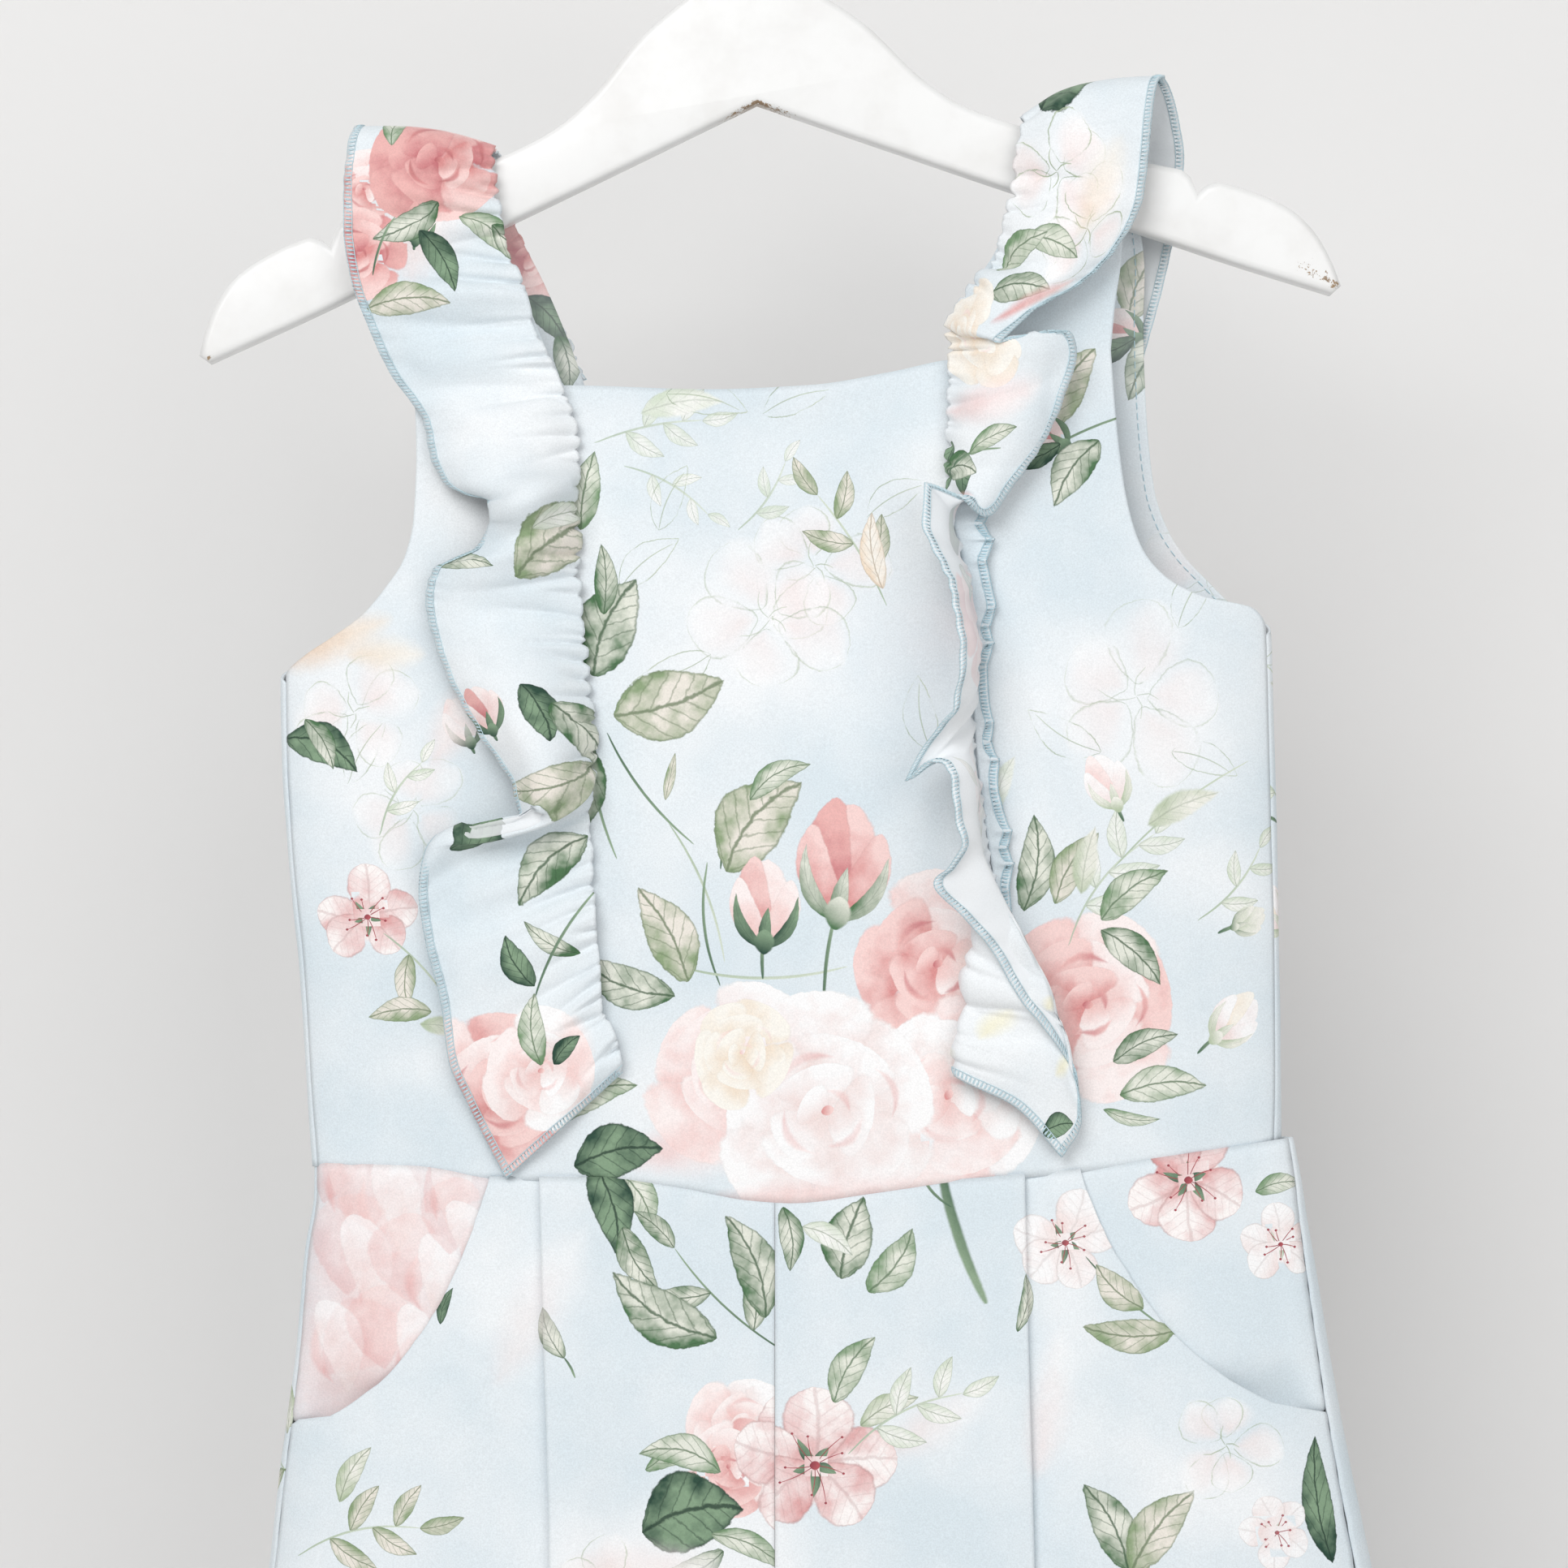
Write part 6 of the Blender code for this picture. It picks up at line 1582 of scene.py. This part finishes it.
def rufflePieces():
    pieces = {}
    for side, spec, chart, facing in (("left", leftRuffle, leftRuffleChart(), -1),
                                      ("right", rightRuffle, rightRuffleChart(), 1)):
        grid, across, walked, at = ruffleGrid(spec)
        relief = gatherRelief(spec, across, walked, at)
        grid = puffedRoot(grid, across, relief)
        step = np.linalg.norm(np.diff(grid[:, 0], axis=0), axis=1)
        over = np.concatenate([[0], np.cumsum((step - np.diff(grid[:, 0, 2])) * (at["turn"][1:] > 1))])
        if side == "left":
            pattern = asPoints(grid[..., 0], grid[..., 2] + over[:, None])
        else:
            x = at["rootX"][:, None] + across[None, :] * spec["width"]
            pattern = asPoints(x, np.repeat((at["rootZ"] + over)[:, None], len(across), axis=1))
        clouds = [(-70, -200, 30, 30, 0.7), (-80, -290, 30, 30, 0.7), (-60, -380, 30, 30, 0.6),
                  (100, -130, 30, 30, 0.8), (80, -200, 30, 30, 0.7), (90, -300, 40, 60, 0.8),
                  (105, -375, 40, 36, 1)]
        name = "ruffle_" + side
        pieces[name] = clothPiece(name, grid, pattern, chart, clouds, facing, relief=relief)
    return pieces


thread = {"ruffles": "D8E9EE", "allowance": "BFDCE7", "stitches": "C6DFE8", "shade": "B4D3DE",
          "roughness": 0.55, "sheen": 0.2}


# sewing thread as fine round tubes, many stitches to a piece
class Sewing:
    def __init__(self, name, colour):
        self.name = name
        self.colour = colour
        self.points = []
        self.faces = []
        self.count = 0

    def tube(self, path, normal, radius, sides=4):
        tangent = unit(np.gradient(path, axis=0))
        one = np.cross(tangent, normal)
        short = np.linalg.norm(one, axis=1) < 0.2
        one[short] = np.cross(tangent[short], np.array((0.37, 0.61, 0.7)))
        one = unit(one)
        two = np.cross(tangent, one)
        turns = np.linspace(0, 2 * math.pi, sides, endpoint=False)
        ring = (path[:, None, :] + radius * (np.cos(turns)[None, :, None] * one[:, None, :]
                                             + np.sin(turns)[None, :, None] * two[:, None, :]))
        number = self.count + np.arange(len(path) * sides).reshape(len(path), sides)
        after = np.roll(number, -1, axis=1)
        quads = asPoints(number[:-1], after[:-1], after[1:], number[1:]).reshape(-1, 4)
        self.points.append(ring.reshape(-1, 3))
        self.faces += quads.tolist()
        self.faces.append(number[0, ::-1].tolist())
        self.faces.append(number[-1].tolist())
        self.count += len(path) * sides

    # overlock: thread goes over the edge and back, with a looper's chain along the needle line
    def overlock(self, edge, inward, normal, pitch=1.25, depth=2.4, half=0.4, radius=0.2):
        walked = distances(edge)
        stitches = int(walked[-1] / pitch)
        shape = [(0.0, 1.0, 1.0), (0.12, 0.55, 1.0), (0.25, -0.1, 0.35), (0.38, -0.1, -0.35),
                 (0.5, 0.55, -1), (0.62, 0.9, -1), (0.74, 0.4, -0.9), (0.84, -0.1, 0.2),
                 (0.92, 0.4, 1)]
        stops, reach, side = (np.array([step[k] for _ in range(stitches) for step in shape])
                              for k in range(3))
        stops = (stops + np.repeat(np.arange(stitches), len(shape))) * pitch
        base, into, up = [pointsAt(stops, walked, points) for points in (edge, inward, normal)]
        uneven = 1 + 0.06 * np.sin(stops * 1.9)
        path = base + into * (reach * depth * uneven)[:, None]
        path = path + up * (side * (half + radius * 0.6))[:, None]
        self.tube(path, up, radius)
        stops = np.linspace(0, walked[-1], stitches * 3 + 1)
        base, into, up = [pointsAt(stops, walked, points) for points in (edge, inward, normal)]
        beat = np.cos(2 * math.pi * stops / pitch)
        for side in (1, -1):
            lift = side * (half + radius * (0.8 + 0.5 * beat))
            self.tube(base + into * depth * 0.97 + up * lift[:, None], up, radius * 0.8)
        self.tube(base - into * 0.14 + up * (0.12 * beat)[:, None], up, radius * 0.85)

    # a row of straight stitches lying on the cloth
    def stitches(self, line, normal, length=2.3, gap=0.9, lift=0.5, radius=0.17):
        walked = distances(line)
        start = gap
        while start + length < walked[-1]:
            stops = start + length * np.array((0, 0.12, 0.5, 0.88, 1))
            up = pointsAt(stops, walked, normal)
            rise = lift + np.array((-0.3, 0.02, 0.08, 0.02, -0.3))
            self.tube(pointsAt(stops, walked, line) + up * rise[:, None], up, radius)
            start += length + gap

    def finish(self):
        mesh = smoothMesh(self.name, np.concatenate(self.points), self.faces)
        mesh.materials.append(threadStuff(self.name, self.colour))
        piece = addObject(self.name, mesh)
        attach(piece, "root")
        print(self.name, "has", len(self.faces), "faces")
        return piece


def threadStuff(name, colour):
    made, tree, shader, where = newMaterial(name + "_thread")
    twist = noiseAt(tree, where, 2400.0, 2.0, 0.6)
    feed(tree, shader.inputs["Base Color"], mixColour(tree, twist, rgba(colour), rgba(thread["shade"])))
    setSockets(shader, Roughness=thread["roughness"], Sheen_Weight=thread["sheen"])
    return made


def ruffleSewing(name, grid, normals):
    sewing = Sewing(name, thread["ruffles"])
    for edge, inner, up in ((grid[:, -1], grid[:, -4], normals[:, -2]),
                            (grid[0, ::-1], grid[3, ::-1], normals[2, ::-1]),
                            (grid[-1], grid[-4], normals[-3])):
        sewing.overlock(edge, unit(inner - edge), up)
    return sewing.finish()


# the right ruffle's seam allowance, gathered and overlocked, shows beside its seam
allowance = {
    "width": table("z width", [
        (-214, 8), (-228, 10.5), (-238, 9), (-250, 7), (-262, 6), (-281, 4.5), (-303, 5.5), (-325, 6.5),
        (-340, 5), (-352, 4), (-372, 3.5)]),
    "top": -214, "bottom": -376, "steps": 520, "across": 9, "lift": 1, "frill": 1.5,
}


def ruffleAllowance():
    rows = rightRuffle["rows"]
    front = rows["turn"] < 1
    rootX = curve(rows["rootZ"][front], rows["rootX"][front])
    widthAt = curve(*allowance["width"].values())
    z = np.linspace(allowance["bottom"], allowance["top"], allowance["steps"])
    w = np.linspace(0, 1, allowance["across"])[None, :]
    beat = 0.74 * z + 2.6 * np.sin(z * 0.19) + 1.2 * np.sin(z * 0.077)
    frill = np.sin(beat)[:, None] * (0.35 + 0.65 * np.sin(z * 0.37) ** 2)[:, None]
    width = widthAt(z)[:, None] * (1 + 0.16 * np.sin(beat * 0.5 + 1)[:, None])
    x = rootX(z)[:, None] - 0.6 + w * width
    zs = z[:, None] + 0.9 * w * np.cos(beat)[:, None]
    lift = allowance["lift"] + 0.5 * w + allowance["frill"] * w * (1 + frill)
    grid = offCloth(x, zs, np.zeros_like(x), lift)
    pattern = asPoints(x + 20, zs)
    piece, grid, normals = clothPiece("ruffle_right_allowance", grid, pattern, [],
                                      [(80, -300, 60, 90, 0.2)], 1, stands=False)
    sewing = Sewing("ruffle_right_allowance_overlock", thread["allowance"])
    sewing.overlock(grid[:, -1], unit(grid[:, -3] - grid[:, -1]), normals[:, -2], depth=2.6, radius=0.2)
    return piece, sewing.finish()


# rows of stitches inside the armholes and round the hems
topStitch = {"armholeFrom": 0.675, "rowsBelowTop": 9, "inset": 2.8, "hemRow": 7}


def edgeStitching(made):
    sewing = Sewing("armhole_and_hem_stitches", thread["stitches"])
    for side in ("left", "right"):
        _, grid, normals = made["bodice_back_" + side]
        first = int(np.searchsorted(bodyShares, topStitch["armholeFrom"]))
        last = len(grid) - topStitch["rowsBelowTop"]
        edge = grid[first:last, -1]
        line = edge + unit(grid[first:last, -6] - edge) * topStitch["inset"]
        sewing.stitches(line, -normals[first:last, -3])
        sewing.stitches(line, normals[first:last, -3])
        for part in ("leg_front_", "leg_back_"):
            _, grid, normals = made[part + side]
            sewing.stitches(grid[-topStitch["hemRow"], 2:-2], normals[-topStitch["hemRow"], 2:-2])
    return sewing.finish()


# the hanger's look; chips in the paint as a, b and size, along the hanger before its tilt
finish = {
    "paint": ("F1F1F0", "E8E7E5"), "wood": ("B79A77", "6E5A48"), "wire": ("D4D4D6", "B9BABD"),
    "chips": [(175, -167, 2.6), (0, -99.6, 2.2), (-174, -168, 1.4)], "chipDepth": 0.8,
    "grime": (40, 4, 0.6), "flake": (900, 3, 0.7), "brushMarks": (130, 3),
    "bump": (0.12, 0.0004), "coat": 0.15, "coatRoughness": 0.2,
}


def paintWood():
    made, tree, shader, where = newMaterial("white_painted_wood")
    grime = noiseAt(tree, where, *finish["grime"])
    colour = mixColour(tree, smoothRange(tree, grime, 0.35, 0.75), *map(rgba, finish["paint"]))
    flake = noiseAt(tree, where, *finish["flake"])
    chip = smoothRange(tree, calc(tree, "MULTIPLY", attribute(tree, "chip", "Fac"), flake), 0.36, 0.42)
    wood = mixColour(tree, noiseAt(tree, where, 300.0), *map(rgba, finish["wood"]))
    feed(tree, shader.inputs["Base Color"], mixColour(tree, chip, colour, wood))
    feed(tree, shader.inputs["Roughness"], calc(tree, "MULTIPLY_ADD", grime, 0.16, 0.27))
    brushed = calc(tree, "SUBTRACT", noiseAt(tree, where, *finish["brushMarks"]),
                   calc(tree, "MULTIPLY", chip, finish["chipDepth"]))
    roughen(tree, shader, brushed, *finish["bump"])
    setSockets(shader, Coat_Weight=finish["coat"], Coat_Roughness=finish["coatRoughness"])
    return made


def brightWire():
    made, tree, shader, where = newMaterial("bright_wire")
    smear = noiseAt(tree, where, 260.0, 3.0)
    feed(tree, shader.inputs["Base Color"], mixColour(tree, smear, *map(rgba, finish["wire"])))
    feed(tree, shader.inputs["Roughness"], calc(tree, "MULTIPLY_ADD", smear, 0.14, 0.16))
    setSockets(shader, Metallic=1.0)
    return made


def insetOutline(points, distance):
    both = unit(points - np.roll(points, 1, axis=0)) + unit(np.roll(points, -1, axis=0) - points)
    inward = asPoints(both[:, 1], -both[:, 0])
    sharp = np.maximum((inward ** 2).sum(axis=1) / 2, 0.6)
    return points + inward * distance / sharp[:, None]


def hangerBar():
    top, under = hanger["top"], hanger["under"]
    start, end = hanger["notch"]
    shoulder = curve(top["a"][:start], top["b"][:start])
    a = np.linspace(top["a"][0], top["a"][start - 1], 40)
    right = [asPoints(a, shoulder(a)),
             asPoints(top["a"][start:end], top["b"][start:end])]
    tip = curve(top["a"][end:], top["b"][end:])
    a = np.linspace(top["a"][end], top["a"][-1], 16)
    right.append(asPoints(a, tip(a)))
    belly = curve(under["a"][::-1], under["b"][::-1])
    a = np.linspace(under["a"][0], under["a"][-1], 30)
    right.append(asPoints(a, belly(a)))
    right = np.concatenate(right)
    outline = np.concatenate([right, [(0, hanger["apex"])], right[::-1] * (-1, 1)])  # mirrored
    half, r = hanger["thickness"] / 2, hanger["edgeRound"]
    rings = []
    turns = np.radians((0, 15, 30, 45, 60, 75, 90))
    profile = [(-half + r - r * math.sin(t), r - r * math.cos(t)) for t in turns[::-1]]
    profile += [(half - r + r * math.sin(t), r - r * math.cos(t)) for t in turns]
    for y, inset in profile:
        ring = insetOutline(outline, inset)
        x, z = tilted(ring[:, 0], ring[:, 1])
        rings.append(asPoints(x, np.full(len(x), y), z))
    count = len(outline)
    points = np.concatenate(rings)
    faces = []
    for k in range(len(rings) - 1):
        for i in range(count):
            j = (i + 1) % count
            faces.append((k * count + i, k * count + j, (k + 1) * count + j, (k + 1) * count + i))
    faces.append(tuple(range(count))[::-1])
    faces.append(tuple((len(rings) - 1) * count + i for i in range(count)))
    mesh = smoothMesh("hanger_bar_wood", points, faces)
    chip = np.zeros(len(points))
    for a, b, size in finish["chips"]:
        x, z = tilted(a, b)
        chip = np.maximum(chip, np.exp(-((points[:, 0] - x) ** 2 + (points[:, 2] - z) ** 2) / size ** 2))
    addValues(mesh, "chip", "POINT", chip)
    mesh.materials.append(paintWood())
    bar = addObject("hanger_bar_wood", mesh)
    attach(bar, "root")
    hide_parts("hanger_bar")
    print("hanger bar has", len(faces), "faces")


def hangerHook():
    radius = hanger["eye"] + hanger["wire"] / 2
    path = [(radius * math.cos(math.radians(a)), -hanger["eye"] + radius * math.sin(math.radians(a)))
            for a in range(235, -31, -7)]
    last = np.array(path[-1])
    leave = np.array((-0.52, -0.86)) * 14
    stem = np.array((0, -50.0))
    for t in np.linspace(0.1, 1, 10):
        path.append(tuple((1 - t) ** 3 * last + 3 * t * (1 - t) ** 2 * (last + leave)
                          + 3 * t * t * (1 - t) * (stem + (0, 9)) + t ** 3 * stem))
    path.append((0, float(hanger["top"]["b"][0]) + 0.3))
    bent = bpy.data.curves.new("hanger_hook_wire", "CURVE")
    bent.dimensions = "3D"
    bent.bevel_depth = hanger["wire"] / 2 * mm
    bent.bevel_resolution = 6
    bent.use_fill_caps = True
    line = bent.splines.new("POLY")
    line.points.add(len(path) - 1)
    for point, (a, b) in zip(line.points, path):
        x, z = tilted(a, b)
        point.co = (x * mm, 0, z * mm, 1)
    line.use_smooth = True
    bent.materials.append(brightWire())
    hook = addObject("hanger_hook_wire", bent)
    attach(hook, "root")
    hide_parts("hanger_hook")


# the studio, in metres and watts
studio = {
    "paper": "EAE9E8", "sheet": 6, "wallY": 0.2, "floorZ": -1.40,
    "sky": (0.86, 0.87, 0.88, 1), "skyStrength": 0.32, "lightsAimAt": (0, 0, -0.35),
    "lights": {"window_light": ((-0.9, -2.3, 1.15), 1.8, 50), "fill_light": ((1.4, -2.5, 0.25), 2.2, 24)},
}


def stageAndLight():
    wallMaterial = bpy.data.materials.new("backdrop_paper")
    wallMaterial.use_nodes = True
    tree = wallMaterial.node_tree
    shader = tree.nodes["Principled BSDF"]
    setSockets(shader, Base_Color=rgba(studio["paper"]), Roughness=0.95, Specular_IOR_Level=0.1)
    clear = addNode(tree, "ShaderNodeBsdfTransparent")
    choose = addNode(tree, "ShaderNodeMixShader")
    feed(tree, choose.inputs[0], addNode(tree, "ShaderNodeNewGeometry").outputs["Backfacing"])
    tree.links.new(shader.outputs[0], choose.inputs[1])
    tree.links.new(clear.outputs[0], choose.inputs[2])
    tree.links.new(choose.outputs[0], tree.nodes["Material Output"].inputs["Surface"])
    s = studio["sheet"] / 2
    for name, place, turn in (("backdrop", (0, studio["wallY"], s + studio["floorZ"]), 90),
                              ("studio_floor", (0, 0, studio["floorZ"]), 0)):
        mesh = bpy.data.meshes.new(name)
        mesh.from_pydata([(-s, -s, 0), (s, -s, 0), (s, s, 0), (-s, s, 0)], [], [(0, 1, 2, 3)])
        mesh.materials.append(wallMaterial)
        made = addObject(name, mesh)
        made.location = place
        made.rotation_euler = (math.radians(turn), 0, 0)
    for name, (where, size, power) in studio["lights"].items():
        lamp = bpy.data.lights.new(name, "AREA")
        lamp.size = size
        lamp.energy = power
        made = addObject(name, lamp)
        made.location = where
        aim = np.array(studio["lightsAimAt"]) - np.array(where)
        made.rotation_euler = (math.atan2(math.hypot(aim[0], aim[1]), -aim[2]), 0,
                               math.atan2(aim[1], aim[0]) - math.pi / 2)
    world = bpy.data.worlds.new("studio")
    world.use_nodes = True
    setSockets(world.node_tree.nodes["Background"], Color=studio["sky"], Strength=studio["skyStrength"])
    bpy.context.scene.world = world
    bpy.context.scene.view_settings.view_transform = "Standard"


# the photograph's view is 483 mm across at the cloth
view = {"across": 0.483, "distance": 1.7, "x": 0.0145, "z": -0.310, "clothFront": -0.012}


def camera():
    lens = bpy.data.cameras.new("camera")
    lens.sensor_width = 36
    lens.lens = 36 * view["distance"] / view["across"]
    made = addObject("camera", lens)
    made.location = (view["x"], view["clothFront"] - view["distance"], view["z"])
    made.rotation_euler = (math.pi / 2, 0, 0)
    bpy.context.scene.camera = made


camera()
stageAndLight()
hangerBar()
hangerHook()
made = bodyPieces()
made.update(rufflePieces())
print("cloth ready")
sewn = {"ruffle_left": [ruffleSewing("ruffle_left_overlock", *made["ruffle_left"][1:])],
        "ruffle_right": [ruffleSewing("ruffle_right_overlock", *made["ruffle_right"][1:])],
        "bodice_back_right": [edgeStitching(made)]}
sewn["ruffle_right"] += ruffleAllowance()
for name, (piece, _, _) in made.items():
    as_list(sewn.get(name, []))
print("sewing ready")
